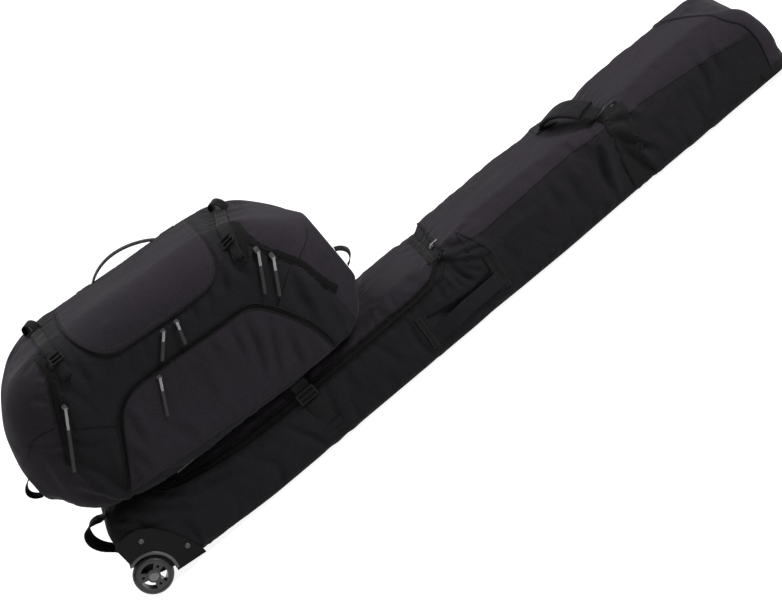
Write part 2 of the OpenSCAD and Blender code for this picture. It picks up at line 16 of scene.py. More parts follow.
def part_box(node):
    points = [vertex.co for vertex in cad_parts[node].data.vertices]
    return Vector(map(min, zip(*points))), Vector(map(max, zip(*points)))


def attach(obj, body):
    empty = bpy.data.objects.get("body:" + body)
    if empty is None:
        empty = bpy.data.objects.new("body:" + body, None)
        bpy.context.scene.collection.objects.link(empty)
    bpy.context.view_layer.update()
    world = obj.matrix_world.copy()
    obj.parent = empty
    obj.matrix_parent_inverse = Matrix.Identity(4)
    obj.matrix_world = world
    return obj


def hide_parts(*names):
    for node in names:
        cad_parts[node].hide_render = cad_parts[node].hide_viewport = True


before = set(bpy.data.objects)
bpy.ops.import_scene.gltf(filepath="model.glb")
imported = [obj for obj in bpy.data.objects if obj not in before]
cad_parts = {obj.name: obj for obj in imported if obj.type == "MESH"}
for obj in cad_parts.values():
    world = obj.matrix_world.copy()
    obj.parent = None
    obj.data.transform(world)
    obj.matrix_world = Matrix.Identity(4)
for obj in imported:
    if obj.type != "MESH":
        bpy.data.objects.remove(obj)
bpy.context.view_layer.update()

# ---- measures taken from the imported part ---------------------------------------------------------
_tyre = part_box("tyre_near")
_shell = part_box("roller_shell")
ORIGIN = np.array([_tyre[0].x, (_shell[0].y + _shell[1].y) / 2, 0.0])


def span(node):
    """A CAD node's low and high corner in the bag's own millimetres."""
    low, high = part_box(node)
    return (np.array(low) - ORIGIN) * 1000, (np.array(high) - ORIGIN) * 1000


shell_low, shell_high = span("roller_shell")
lid_low, lid_high = span("roller_lid")
duffel_low, duffel_high = span("duffel_shell")
TAIL_X, TIP_X = shell_low[0], shell_high[0]
HALF_W, TAIL_H = shell_high[1], shell_high[2]
SKI_H = TAIL_H - 28                # top of the ski compartment under the duffel
LID_X0, LID_X1 = lid_low[0], lid_high[0]
ZIP_Z = lid_low[2]
STEP_X = LID_X1 + 23               # where the closed sleeve begins, behind the lid
STEP_H = SKI_H + 4
NOSE_RUN = 95.0                    # length over which the tip closes
DUF_X0, DUF_X1 = duffel_low[0], duffel_high[0]
DUF_FRONT = -duffel_low[1]
DUF_TOP, DUF_MID = 534.0, 415.0    # the sloping top's height at its middle, and that middle's x
DUF_SLOPE = math.radians(5.5)
WALL = 4.0                         # padded fabric's thickness


# ---- materials -----------------------------------------------------------------------------------
def new_material(name):
    mat = bpy.data.materials.new(name)
    mat.use_nodes = True
    tree = mat.node_tree
    return mat, tree, tree.nodes["Principled BSDF"]


def node(tree, kind, **values):
    made = tree.nodes.new(kind)
    for key, value in values.items():
        if key in made.inputs:
            made.inputs[key].default_value = value
        else:
            setattr(made, key, value)
    return made


def mix_colours(tree, fac, a, b):
    """Mixes two colours by a socket, and gives the result's socket."""
    mix = node(tree, "ShaderNodeMix", data_type="RGBA")
    tree.links.new(fac, mix.inputs[0])
    mix.inputs[6].default_value = (*a, 1)
    mix.inputs[7].default_value = (*b, 1)
    return mix.outputs[2]


def calc(tree, operation, *values):
    """A maths node on sockets and plain numbers, and its result's socket."""
    made = node(tree, "ShaderNodeMath", operation=operation)
    for socket, value in zip(made.inputs, values):
        if isinstance(value, float):
            socket.default_value = value
        else:
            tree.links.new(value, socket)
    return made.outputs[0]


def noise(tree, coords, **values):
    """Noise over the coordinates, as a socket."""
    tex = node(tree, "ShaderNodeTexNoise", **values)
    tree.links.new(coords, tex.inputs["Vector"])
    return tex.outputs["Fac"]


def noise_fac(tree, coords, scale, detail, low=0.35, high=0.65):
    """Noise stretched so that low to high fills the range from 0 to 1."""
    spread = tree.nodes.new("ShaderNodeMapRange")
    spread.inputs["From Min"].default_value = low
    spread.inputs["From Max"].default_value = high
    tree.links.new(noise(tree, coords, Scale=scale, Detail=detail), spread.inputs["Value"])
    return spread.outputs["Result"]


def roughen(tree, bsdf, wear, middle, spread):
    """Roughness that varies about a middle value with the wear."""
    rough_map = tree.nodes.new("ShaderNodeMapRange")
    rough_map.inputs["To Min"].default_value = middle - spread
    rough_map.inputs["To Max"].default_value = middle + spread
    tree.links.new(wear, rough_map.inputs["Value"])
    tree.links.new(rough_map.outputs["Result"], bsdf.inputs["Roughness"])


def bump_chain(tree, bsdf, layers):
    """layers: (height socket, strength, distance in metres)."""
    last = None
    for height, strength, distance in layers:
        bump = node(tree, "ShaderNodeBump", Strength=strength, Distance=distance)
        tree.links.new(height, bump.inputs["Height"])
        if last is not None:
            tree.links.new(last, bump.inputs["Normal"])
        last = bump.outputs["Normal"]
    tree.links.new(last, bsdf.inputs["Normal"])


def weave_height(tree, coords, period):
    """Threads crossing at a period in millimetres, as a height that works on a face of any direction."""
    k = 1000 / period * math.pi
    split = tree.nodes.new("ShaderNodeSeparateXYZ")
    tree.links.new(coords, split.inputs[0])
    waves = [calc(tree, "SINE", calc(tree, "MULTIPLY", split.outputs[axis], k)) for axis in "XYZ"]
    return calc(tree, "ADD", calc(tree, "ADD", waves[0], waves[1]), waves[2])


def fabric(name, dark, light, rough=0.8, sheen=0.04, period=2.0, weave=0.25, slub=0.3):
    """Woven cloth: two shades of thread, wear in large soft patches, a weave and a fine crinkle."""
    mat, tree, bsdf = new_material(name)
    coords = node(tree, "ShaderNodeTexCoord").outputs["Object"]
    patches = noise_fac(tree, coords, 5.0, 4.0)
    threads = noise_fac(tree, coords, 420.0, 2.0, 0.3, 0.7)
    shade = calc(tree, "MULTIPLY", calc(tree, "MULTIPLY_ADD", patches, 0.45, threads), 0.7)
    tree.links.new(mix_colours(tree, shade, dark, light), bsdf.inputs["Base Color"])
    roughen(tree, bsdf, patches, rough, 0.07)
    bsdf.inputs["Specular IOR Level"].default_value = 0.05
    bsdf.inputs["Sheen Weight"].default_value = sheen
    bsdf.inputs["Sheen Roughness"].default_value = 0.4
    bsdf.inputs["Sheen Tint"].default_value = (0.9, 0.86, 0.95, 1)
    bump_chain(tree, bsdf, [
        (noise(tree, coords, Scale=11.0, Detail=3.0, Distortion=0.6), slub, 0.03),
        (noise(tree, coords, Scale=46.0, Detail=4.0), slub, 0.0016),
        (weave_height(tree, coords, period), weave, 0.0003)])
    return mat


def plain(name, dark, light, rough, metal=0.0, grain=120.0, bump=0.15, coat=0.0, gloss=0.3):
    """Moulded plastic, rubber or metal with a fine grain and a little wear."""
    mat, tree, bsdf = new_material(name)
    coords = node(tree, "ShaderNodeTexCoord").outputs["Object"]
    wear = noise_fac(tree, coords, 22.0, 5.0)
    tree.links.new(mix_colours(tree, wear, dark, light), bsdf.inputs["Base Color"])
    roughen(tree, bsdf, wear, rough, 0.08)
    bsdf.inputs["Metallic"].default_value = metal
    bsdf.inputs["Specular IOR Level"].default_value = gloss
    bsdf.inputs["Coat Weight"].default_value = coat
    bump_chain(tree, bsdf, [(noise(tree, coords, Scale=grain * 8, Detail=2.0), bump, 0.0004)])
    return mat


def grey(v, warm=0.0):
    return (v * (1 + warm), v, v * (1 + warm * 1.4))


MAT = {
    "body_fabric": fabric("body_fabric", grey(0.0050, 0.1), grey(0.0100, 0.1), sheen=0.03),
    "panel_fabric": fabric("panel_fabric", grey(0.0075, 0.2), grey(0.0150, 0.2), sheen=0.03, slub=0.2),
    "lining": fabric("lining", grey(0.02), grey(0.035), rough=0.6),
    "webbing": fabric("webbing", grey(0.004), grey(0.009), rough=0.65, period=3.0, weave=0.2),
    "zip_tape": fabric("zip_tape", grey(0.0018), grey(0.0035), rough=0.65, period=1.6, weave=0.4),
    "piping": fabric("piping", grey(0.0045, 0.06), grey(0.008, 0.06), rough=0.7, sheen=0.02, period=1.6,
                     weave=0.2),
    "foam": plain("foam", grey(0.05), grey(0.075), 0.9, grain=60, bump=0.4),
    "stiffener": plain("stiffener", grey(0.02), grey(0.03), 0.5),
    "moulded_plastic": plain("moulded_plastic", grey(0.0028, 0.08), grey(0.0045, 0.08), 0.6, bump=0.3,
                             gloss=0.1),
    "buckle_plastic": plain("buckle_plastic", grey(0.0028), grey(0.0045), 0.45, gloss=0.15),
    "fastener_steel": plain("fastener_steel", grey(0.035), grey(0.06), 0.45, metal=0.2),
    "bearing_steel": plain("bearing_steel", grey(0.10), grey(0.16), 0.35, metal=0.8),
    "hub_plastic": plain("hub_plastic", grey(0.012), grey(0.024), 0.34, coat=0.15),
    "tyre_rubber": plain("tyre_rubber", grey(0.010), grey(0.018), 0.45),
    "slider_metal": plain("slider_metal", grey(0.03), grey(0.06), 0.35, metal=0.4),
    "coil": plain("coil", grey(0.003), grey(0.006), 0.5, gloss=0.15),
    "pull_grip": plain("pull_grip", grey(0.006), grey(0.012), 0.45),
    "thread": plain("thread", grey(0.012), grey(0.02), 0.6),
    "tab_print": plain("tab_print", grey(0.12), grey(0.2), 0.5),
    "fender_edge": plain("fender_edge", grey(0.035), grey(0.06), 0.32, bump=0.2),
}


# ---- meshes --------------------------------------------------------------------------------------
def make(name, verts, faces, material, sharp=None):
    """A mesh object from vertices in the bag's millimetres."""
    mesh = bpy.data.meshes.new(name)
    placed = np.asarray(verts, float) / 1000 + ORIGIN
    mesh.from_pydata([tuple(v) for v in placed], [], [tuple(f) for f in faces])
    mesh.validate()
    mesh.shade_smooth()
    if sharp is not None:
        mesh.set_sharp_from_angle(angle=math.radians(sharp))
    mesh.materials.append(MAT[material])
    obj = bpy.data.objects.new(name, mesh)
    bpy.context.scene.collection.objects.link(obj)
    return obj


def sew_on(obj, body, slot, *nodes):
    """Lets a finished piece ride on its body and hides the CAD nodes it stands for; slot is not used."""
    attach(obj, body)
    if nodes:
        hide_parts(*nodes)
    return obj


def sew(name, shape, material, body, *nodes, slot=None, sharp=None):
    """Makes a piece from (verts, faces) and sews it on; the slot it hands on, the material's unless told,
    is not used.
    """
    return sew_on(make(name, *shape, material, sharp), body, slot or material, *nodes)


def points_of(mesh):
    co = np.empty(len(mesh.vertices) * 3)
    mesh.vertices.foreach_get("co", co)
    return (co.reshape(-1, 3) - ORIGIN) * 1000


def set_points(mesh, points):
    mesh.vertices.foreach_set("co", (points / 1000 + ORIGIN).ravel())
    mesh.update()


def normals_of(mesh):
    no = np.empty(len(mesh.vertices) * 3)
    mesh.vertex_normals.foreach_get("vector", no)
    return no.reshape(-1, 3)


def faces_of(mesh):
    return [tuple(p.vertices) for p in mesh.polygons]


class Skin:
    """A finished surface that other pieces are laid on."""

    def __init__(self, obj):
        self.tree = BVHTree.FromPolygons([tuple(p) for p in points_of(obj.data)], faces_of(obj.data))

    def near(self, point):
        place, normal, _, _ = self.tree.find_nearest(Vector(point))
        return np.array(place), np.array(normal)

    def hit(self, start, direction):
        place, normal, _, _ = self.tree.ray_cast(Vector(start), Vector(direction))
        if place is None:
            return self.near(start)
        return np.array(place), np.array(normal)

    def side(self, x, z):
        """The point on the side that faces the viewer of the grab handle."""
        return self.hit((x, -420, z), (0, 1, 0))[0]

    def above(self, x, y):
        return self.hit((x, y, 800), (0, 0, -1))[0]


def resample(path, step, closed=False):
    """The same line with points evenly spaced, about step apart."""
    path = np.asarray(path, float)
    if closed:
        path = np.vstack([path, path[:1]])
    lengths = np.r_[0, np.cumsum(np.linalg.norm(np.diff(path, axis=0), axis=1))]
    count = max(2, int(round(lengths[-1] / step)) + 1)
    at = np.linspace(0, lengths[-1], count)
    even = np.column_stack([np.interp(at, lengths, path[:, k]) for k in range(path.shape[1])])
    return even[:-1] if closed else even


def rounded(points, passes=2, closed=False):
    """Corner cutting: a smooth line near a polygon."""
    pts = np.asarray(points, float)
    for _ in range(passes):
        a = pts
        b = np.roll(pts, -1, axis=0)
        if not closed:
            a, b = a[:-1], b[:-1]
        cut = np.empty((2 * len(a), pts.shape[1]))
        cut[0::2] = 0.75 * a + 0.25 * b
        cut[1::2] = 0.25 * a + 0.75 * b
        pts = cut if closed else np.vstack([pts[:1], cut, pts[-1:]])
    return pts


def unit(v):
    length = np.linalg.norm(v, axis=-1, keepdims=True)
    return v / np.maximum(length, 1e-9)


def tangents(path, closed=False):
    if closed:
        return unit(np.roll(path, -1, axis=0) - np.roll(path, 1, axis=0))
    return unit(np.gradient(path, axis=0))


def sweep(centres, sides, normals, section, closed=False):
    """A cross-section of (side, normal) offsets carried along a line."""
    n, m = len(centres), len(section)
    verts = np.concatenate([c + np.outer(section[:, 0], s) + np.outer(section[:, 1], q)
                            for c, s, q in zip(centres, sides, normals)])
    faces = []
    for i in range(n if closed else n - 1):
        j = (i + 1) % n
        faces += [(i * m + k, i * m + (k + 1) % m, j * m + (k + 1) % m, j * m + k) for k in range(m)]
    if not closed:
        faces += [tuple(range(m))[::-1], tuple(range((n - 1) * m, n * m))]
    return verts, faces


def flat_section(width, thick, bevel=0.5):
    """Webbing's cross-section: a flat band with rounded edges, its underside on the line."""
    w, b = width / 2, min(bevel, thick * 0.45)
    return np.array([(-w + b, 0), (w - b, 0), (w, b), (w, thick - b), (w - b, thick), (0, thick + 0.1),
                     (-w + b, thick), (-w, thick - b), (-w, b)])


ODD_DIRECTION = np.array((0.31, 0.22, 0.93))     # no cord here runs along it


def round_section(radius, sides=8):
    a = np.linspace(0, 2 * math.pi, sides, endpoint=False)
    return np.column_stack([np.cos(a), np.sin(a)]) * radius


def band(path, side, width, thick, step=5.0, passes=2):
    """Free webbing along a smooth path, its breadth along one direction."""
    centres = resample(rounded(path, passes), step)
    t = tangents(centres)
    sides = unit(np.asarray(side, float) - t * (t @ np.asarray(side, float))[:, None])
    return sweep(centres, sides, np.cross(t, sides), flat_section(width, thick) - [0, thick / 2])


def tube(path, radius, step=5.0, closed=False):
    """A round cord along a line."""
    centres = resample(path, step, closed)
    t = tangents(centres, closed)
    sides = unit(np.cross(t, ODD_DIRECTION))
    return sweep(centres, sides, np.cross(t, sides), round_section(radius), closed)


def laid_tube(path, skin, radius, sink=0.4, step=5.0):
    """Piping half sunk in a seam: a round cord that follows a skin."""
    centres, normals = on_skin(resample(path, step), skin)
    return tube(centres + normals * radius * (1 - 2 * sink), radius, step)


def on_skin(points, skin):
    """The points' places on a skin, and smooth normals there."""
    near = [skin.near(p) for p in points]
    places = np.array([p for p, _ in near])
    normals = np.array([q for _, q in near])
    for _ in range(2):
        padded = np.vstack([normals[:1], normals, normals[-1:]])
        normals = unit(padded[:-2] + 2 * normals + padded[2:])
    return places, normals


def ribbon(path, skin, width, thick, lift=0.2, step=6.0, across=7, crown=0.0):
    """A strip sewn on a skin: every point of it follows the skin's shape."""
    centres, normals = on_skin(resample(path, step), skin)
    sides = unit(np.cross(tangents(centres), normals))
    ks = np.linspace(-0.5, 0.5, across)
    n = len(centres)
    low, high = [], []
    for c, s in zip(centres, sides):
        row = [skin.near(c + s * width * k) for k in ks]
        ups = unit(np.array([q for _, q in row]))
        base = np.array([p for p, _ in row])
        top = thick + crown * (1 - (2 * ks) ** 2)
        top[[0, -1]] = thick * 0.6
        low.append(base + ups * lift)
        high.append(base + ups * (lift + top)[:, None])
    verts = np.concatenate(low + high)
    off = n * across
    faces = []
    for i in range(n - 1):
        for k in range(across - 1):
            a = i * across + k
            faces.append((a, a + across, a + across + 1, a + 1))
            faces.append((off + a, off + a + 1, off + a + across + 1, off + a + across))
        for k in (0, across - 1):
            a = i * across + k
            wall = (a, off + a, off + a + across, a + across)
            faces.append(wall if k == 0 else wall[::-1])
    for i in (0, n - 1):
        for k in range(across - 1):
            a = i * across + k
            wall = (a, a + 1, off + a + 1, off + a)
            faces.append(wall if i == 0 else wall[::-1])
    return verts, faces


def bricks(path, skin, pitch, size, offset=0.0, lift=0.5, swing=0.0):
    """Small blocks along a line on a skin: zip teeth or stitches. size is (along, across, high)."""
    centres, normals = on_skin(resample(path, pitch), skin)
    t = tangents(centres)
    sides = unit(np.cross(t, normals))
    corners = np.array([(i, j, k) for i in (-0.5, 0.5) for j in (-0.5, 0.5) for k in (0, 1)]) * size
    quads = [(0, 1, 3, 2), (4, 6, 7, 5), (0, 4, 5, 1), (2, 3, 7, 6), (0, 2, 6, 4), (1, 5, 7, 3)]
    verts, faces = [], []
    for i, (c, s, q, d) in enumerate(zip(centres, sides, normals, t)):
        side = offset + swing * (1 if i % 2 else -1)
        place = c + s * side + q * lift
        over = np.cross(q, d)
        faces += [tuple(8 * i + f for f in quad) for quad in quads]
        verts += [place + d * a + over * b + q * h for a, b, h in corners]
    return np.array(verts), faces


def joined(*parts):
    """Several (verts, faces) as one."""
    verts, faces, start = [], [], 0
    for v, f in parts:
        verts.append(np.asarray(v))
        faces += [tuple(start + k for k in face) for face in f]
        start += len(v)
    return np.vstack(verts), faces


def block(low, high, bevel=1.0):
    """A box with rounded edges as (verts, faces)."""
    low, high = np.asarray(low, float), np.asarray(high, float)
    bm = bmesh.new()
    bmesh.ops.create_cube(bm, size=1.0)
    bmesh.ops.scale(bm, vec=tuple(high - low), verts=bm.verts)
    bmesh.ops.translate(bm, vec=tuple((low + high) / 2), verts=bm.verts)
    bmesh.ops.bevel(bm, geom=bm.edges[:], offset=bevel, segments=2, affect="EDGES")
    bm.verts.ensure_lookup_table()
    verts = np.array([v.co[:] for v in bm.verts])
    faces = [tuple(v.index for v in f.verts) for f in bm.faces]
    bm.free()
    return verts, faces


def turned(part, matrix, shift=(0, 0, 0)):
    """(verts, faces) turned by a 3x3 matrix, then moved."""
    return np.asarray(part[0]) @ np.asarray(matrix).T + np.asarray(shift), part[1]


def grid_faces(rows, cols):
    return [(i * cols + k, i * cols + k + 1, (i + 1) * cols + k + 1, (i + 1) * cols + k)
            for i in range(rows - 1) for k in range(cols - 1)]


# ---- surfaces ------------------------------------------------------------------------------------
def blurred(points, xs, blur):
    """Values along x from a polygon, its corners softened over a length."""
    pts = np.asarray(points, float)
    fine = np.linspace(xs[0], xs[-1], 600)
    values = np.interp(fine, pts[:, 0], pts[:, 1])
    step = fine[1] - fine[0]
    reach = max(1, int(3 * blur / step))
    kernel = np.exp(-0.5 * (np.arange(-reach, reach + 1) * step / blur) ** 2)
    padded = np.pad(values, reach, mode="edge")
    return np.interp(xs, fine, np.convolve(padded, kernel / kernel.sum(), mode="valid"))


def corner_arc(cy, cz, r, a0, a1, n=10):
    a = np.radians(np.linspace(a0, a1, n))
    return np.column_stack([cy + r * np.cos(a), cz + r * np.sin(a)])


def ring(front, back, low, high, radii, count):
    """A rounded section in (y, z), evenly spaced, from the floor's middle round by the front.
    radii: low front, top front, top back, low back."""
    height, width = high - low, back - front
    r = [min(v, height * 0.499, width * 0.499) for v in radii]
    outline = np.vstack([
        [((front + back) / 2, low)],
        corner_arc(front + r[0], low + r[0], r[0], 270, 180),
        corner_arc(front + r[1], high - r[1], r[1], 180, 90),
        corner_arc(back - r[2], high - r[2], r[2], 90, 0),
        corner_arc(back - r[3], low + r[3], r[3], 360, 270)])
    return even_ring(outline, count)


def even_ring(outline, count):
    line = np.vstack([outline, outline[:1]])
    lengths = np.r_[0, np.cumsum(np.linalg.norm(np.diff(line, axis=0), axis=1))]
    at = np.linspace(0, lengths[-1], count, endpoint=False)
    return np.column_stack([np.interp(at, lengths, line[:, k]) for k in (0, 1)])


def loft(name, xs, rings):
    """A closed surface through rings of (y, z) at each x."""
    m = len(rings[0])
    verts = np.concatenate([np.column_stack([np.full(m, x), r]) for x, r in zip(xs, rings)])
    faces = [(i * m + k, (i + 1) * m + k, (i + 1) * m + (k + 1) % m, i * m + (k + 1) % m)
             for i in range(len(xs) - 1) for k in range(m)]
    faces += [tuple(range(m)), tuple(range((len(xs) - 1) * m, len(xs) * m))[::-1]]
    return make(name, verts, faces, "body_fabric")


def apply_modifiers(obj):
    depsgraph = bpy.context.evaluated_depsgraph_get()
    mesh = bpy.data.meshes.new_from_object(obj.evaluated_get(depsgraph))
    old = obj.data
    obj.modifiers.clear()
    obj.data = mesh
    bpy.data.meshes.remove(old)
    return obj


def even_mesh(obj, voxel):
    """The same closed surface as even small squares, slightly smoothed."""
    remesh = obj.modifiers.new("even", "REMESH")
    remesh.mode = "VOXEL"
    remesh.voxel_size = voxel / 1000
    apply_modifiers(obj)
    smooth = obj.modifiers.new("smooth", "SMOOTH")
    smooth.factor = 0.5
    smooth.iterations = 6
    return apply_modifiers(obj)


def carve(obj, other):
    cut = obj.modifiers.new("cut", "BOOLEAN")
    cut.operation = "DIFFERENCE"
    cut.object = other
    cut.solver = "EXACT"
    apply_modifiers(obj)
    bpy.data.objects.remove(other)
    return obj


def segment_distance(points, path, closed=False):
    """Distance of 2D or 3D points from a polyline."""
    ends = np.vstack([path[1:], path[:1]]) if closed else path[1:]
    starts = path if closed else path[:-1]
    best = np.full(len(points), 1e9)
    for a, b in zip(starts, ends):
        d = b - a
        t = np.clip(((points - a) @ d) / max(d @ d, 1e-9), 0, 1)
        best = np.minimum(best, np.linalg.norm(points - a - t[:, None] * d, axis=1))
    return best


def signed_distance(points, outline):
    """Distance of 2D points from a closed outline, negative inside."""
    inside = np.zeros(len(points), bool)
    for a, b in zip(outline, np.roll(outline, -1, axis=0)):
        crosses = (a[1] > points[:, 1]) != (b[1] > points[:, 1])
        at = (b[0] - a[0]) * (points[:, 1] - a[1]) / (b[1] - a[1] + 1e-12) + a[0]
        inside ^= crosses & (points[:, 0] < at)
    away = segment_distance(points, outline, closed=True)
    return np.where(inside, -away, away)


def cut_apart(obj, field, names):
    """Splits a surface along field = 0, and gives the parts (inside, outside) as objects."""
    bm = bmesh.new()
    bm.from_mesh(obj.data)
    bm.verts.ensure_lookup_table()
    values = list(field(points_of(obj.data)))
    fresh = set()
    for edge in list(bm.edges):
        a, b = edge.verts
        fa, fb = values[a.index], values[b.index]
        if fa * fb < 0 and min(abs(fa), abs(fb)) > 1e-6:
            _, vert = bmesh.utils.edge_split(edge, a, fa / (fa - fb))
            fresh.add(vert)
    for face in list(bm.faces):
        on_line = [v for v in face.verts if v in fresh]
        if len(on_line) == 2:
            try:
                bmesh.utils.face_split(face, on_line[0], on_line[1])
            except ValueError:
                pass
    bm.to_mesh(obj.data)
    bm.free()
    points = points_of(obj.data)
    faces = faces_of(obj.data)
    centres = np.array([points[list(f)].mean(0) for f in faces])
    inner = field(centres) < 0
    parts = []
    for name, keep in zip(names, (inner, ~inner)):
        chosen = [f for f, k in zip(faces, keep) if k]
        used = sorted({v for f in chosen for v in f})
        index = {v: i for i, v in enumerate(used)}
        parts.append(make(name, points[used], [tuple(index[v] for v in f) for f in chosen], "body_fabric"))
    bpy.data.objects.remove(obj)
    return parts


def thicken(obj, thick, offset=-1.0):
    solid = obj.modifiers.new("wall", "SOLIDIFY")
    solid.thickness = thick / 1000
    solid.offset = offset
    solid.use_quality_normals = True
    return apply_modifiers(obj)


def finer(obj):
    sub = obj.modifiers.new("finer", "SUBSURF")
    sub.levels = sub.render_levels = 1
    return apply_modifiers(obj)


def cloth_piece(obj, body, slot, cad, wall, offset=-1.0, sharp=50):
    """Gives a cut cloth its thickness and fabric, and sews it on."""
    finer(obj)
    obj.data.materials[0] = MAT[slot]
    thicken(obj, wall, offset)
    obj.data.shade_smooth()
    if sharp:
        obj.data.set_sharp_from_angle(angle=math.radians(sharp))
    return sew_on(obj, body, slot, cad)


def settle(obj, hold, pressure, slack, frames, cap, stiff=12.0, bend=0.6):
    """Lets the cloth of a closed shape fill and crease.

    hold is 1 where it is sewn down, and cap is the most it may move in millimetres.
    """
    group = obj.vertex_groups.new(name="hold")
    for level in range(1, 11):
        chosen = np.nonzero(np.round(hold * 10) == level)[0]
        if len(chosen):
            group.add([int(i) for i in chosen], level / 10, "REPLACE")
    rest = points_of(obj.data)
    cloth = obj.modifiers.new("cloth", "CLOTH")
    s = cloth.settings
    s.quality = 5
    s.mass = 0.35
    s.tension_stiffness = s.compression_stiffness = s.shear_stiffness = stiff
    s.bending_stiffness = bend
    s.tension_damping = s.compression_damping = s.shear_damping = 12
    s.use_pressure = True
    s.uniform_pressure_force = pressure
    s.effector_weights.gravity = 0
    s.vertex_group_mass = "hold"
    s.shrink_min = -slack
    cloth.collision_settings.use_collision = False
    cloth.point_cache.frame_start = 1
    cloth.point_cache.frame_end = frames
    scene = bpy.context.scene
    for f in range(1, frames + 1):
        scene.frame_set(f)
    apply_modifiers(obj)
    scene.frame_set(1)
    moved = points_of(obj.data) - rest
    length = np.linalg.norm(moved, axis=1, keepdims=True)
    limited = cap * np.tanh(length / cap)
    set_points(obj.data, rest + moved * np.where(length > 1e-9, limited / np.maximum(length, 1e-9), 0))
    obj.vertex_groups.clear()
    return obj


# ---- ski compartment: the closed surface ---------------------------------------------------------
def near_nose(x):
    """How far the tip has closed, from 0 to 1."""
    return np.clip((x - (TIP_X - NOSE_RUN)) / NOSE_RUN, 0, 1)


def roller_stations():
    straight = np.arange(TAIL_X + 3, TIP_X - NOSE_RUN, 9.0)
    nose = TIP_X - NOSE_RUN + (NOSE_RUN - 0.4) * np.sin(np.linspace(0, math.pi / 2, 16)[1:])
    return np.r_[TAIL_X, TAIL_X + 1, straight, nose]


def roller_surface():
    xs = roller_stations()
    top = blurred([(TAIL_X, 150), (TAIL_X + 14, 190), (TAIL_X + 40, TAIL_H - 2), (110, TAIL_H - 3),
                   (205, SKI_H - 1),
                   (300, SKI_H - 3), (800, SKI_H - 2), (945, SKI_H - 4), (STEP_X - 8, SKI_H - 3),
                   (STEP_X + 2, STEP_H + 2),
                   (1040, STEP_H + 4), (1150, STEP_H + 4), (1290, STEP_H - 1), (1317, STEP_H - 5),
                   (1399, STEP_H - 5),
                   (1440, STEP_H - 1), (1560, STEP_H + 3), (TIP_X, STEP_H)], xs, 7)
    low = blurred([(TAIL_X, 60), (TAIL_X + 20, 35), (100, 20), (150, 13), (250, 7), (350, 1), (TIP_X, 1)],
                  xs, 9)
    half = blurred([(TAIL_X, HALF_W - 28), (TAIL_X + 30, HALF_W - 4), (150, HALF_W), (930, HALF_W),
                    (960, HALF_W - 4),
                    (1040, HALF_W), (1180, HALF_W + 2), (1300, HALF_W - 3), (1399, HALF_W - 6),
                    (1450, HALF_W - 1),
                    (1560, HALF_W + 1), (TIP_X - 60, HALF_W + 1), (TIP_X - 20, HALF_W),
                    (TIP_X, HALF_W - 12)], xs, 8)
    closing = np.sqrt(np.maximum(0, 1 - near_nose(xs) ** 5))
    middle = STEP_H * 0.47
    top = middle + (top - middle) * np.where(near_nose(xs) > 0, closing, 1)
    low = middle + (low - middle) * np.where(near_nose(xs) > 0, closing, 1)
    rings = [ring(-h, h, a, b, (24, 52, 52, 24), 150) for h, a, b in zip(half, low, top)]
    return loft("roller", xs, rings)


def girth(points):
    """Distance up the near side and on over the top, for folds that cross the upper edge."""
    return points[:, 2] + np.maximum(points[:, 1] + HALF_W, 0) * 0.9


def crease(flat, fields):
    """Height of soft folds: a ridge and a groove beside each line of the fields (path, width, height)."""
    height = np.zeros(len(flat))
    for path, width, depth in fields:
        path = np.asarray(path, float)
        starts, ends = path[:-1], path[1:]
        total = np.linalg.norm(ends - starts, axis=1).sum()
        best = np.full(len(flat), 1e9)
        along = np.zeros(len(flat))
        run = 0.0
        side = np.zeros(len(flat))
        for a, b in zip(starts, ends):
            d = b - a
            length = np.linalg.norm(d)
            t = np.clip(((flat - a) @ d) / length ** 2, 0, 1)
            off = flat - a - t[:, None] * d
            dist = np.linalg.norm(off, axis=1)
            closer = dist < best
            best = np.where(closer, dist, best)
            along = np.where(closer, (run + t * length) / total, along)
            side = np.where(closer, np.sign(off @ np.array([-d[1], d[0]])), side)
            run += length
        s = best * side / width
        fade = np.sin(np.pi * np.clip(along * 0.94 + 0.03, 0, 1)) ** 0.6
        height += depth * fade * (np.exp(-0.5 * (s - 0.7) ** 2) - np.exp(-0.5 * (s + 0.7) ** 2))
    return height


def push(obj, height):
    """Moves every point along its normal."""
    set_points(obj.data, points_of(obj.data) + normals_of(obj.data) * height[:, None])


def puckers(path, spacing, reach, width, depth, seed, side=1.0):
    """Short gathers that stand off a seam on one side, uneven in length and lean."""
    line = resample(rounded(path, 2), spacing)
    along = tangents(line)
    uneven = np.random.default_rng(seed)
    folds = []
    for point, d in zip(line[1:-1], along[1:-1]):
        out = side * np.array([-d[1], d[0]]) + d * uneven.normal(0, 0.35)
        length = reach * uneven.uniform(0.35, 1.0)
        start = point + d * uneven.normal(0, spacing * 0.2)
        folds.append(([start + out * 3, start + out * length], width * uneven.uniform(0.8, 1.3),
                      depth * uneven.uniform(0.3, 1.0)))
    return folds


def fan(origin, ends, width, depth, bow=0.0):
    """Folds that spread from one point."""
    lines = []
    for i, end in enumerate(ends):
        o, e = np.array(origin, float), np.array(end, float)
        mid = (o + e) / 2 + bow * np.array([e[1] - o[1], o[0] - e[0]])
        start = o + (e - o) * 0.12
        lines.append((rounded([start, mid, e], 2), width * (0.8 + 0.08 * (i % 4)),
                      depth * (1 if i % 2 else 0.75)))
    return lines


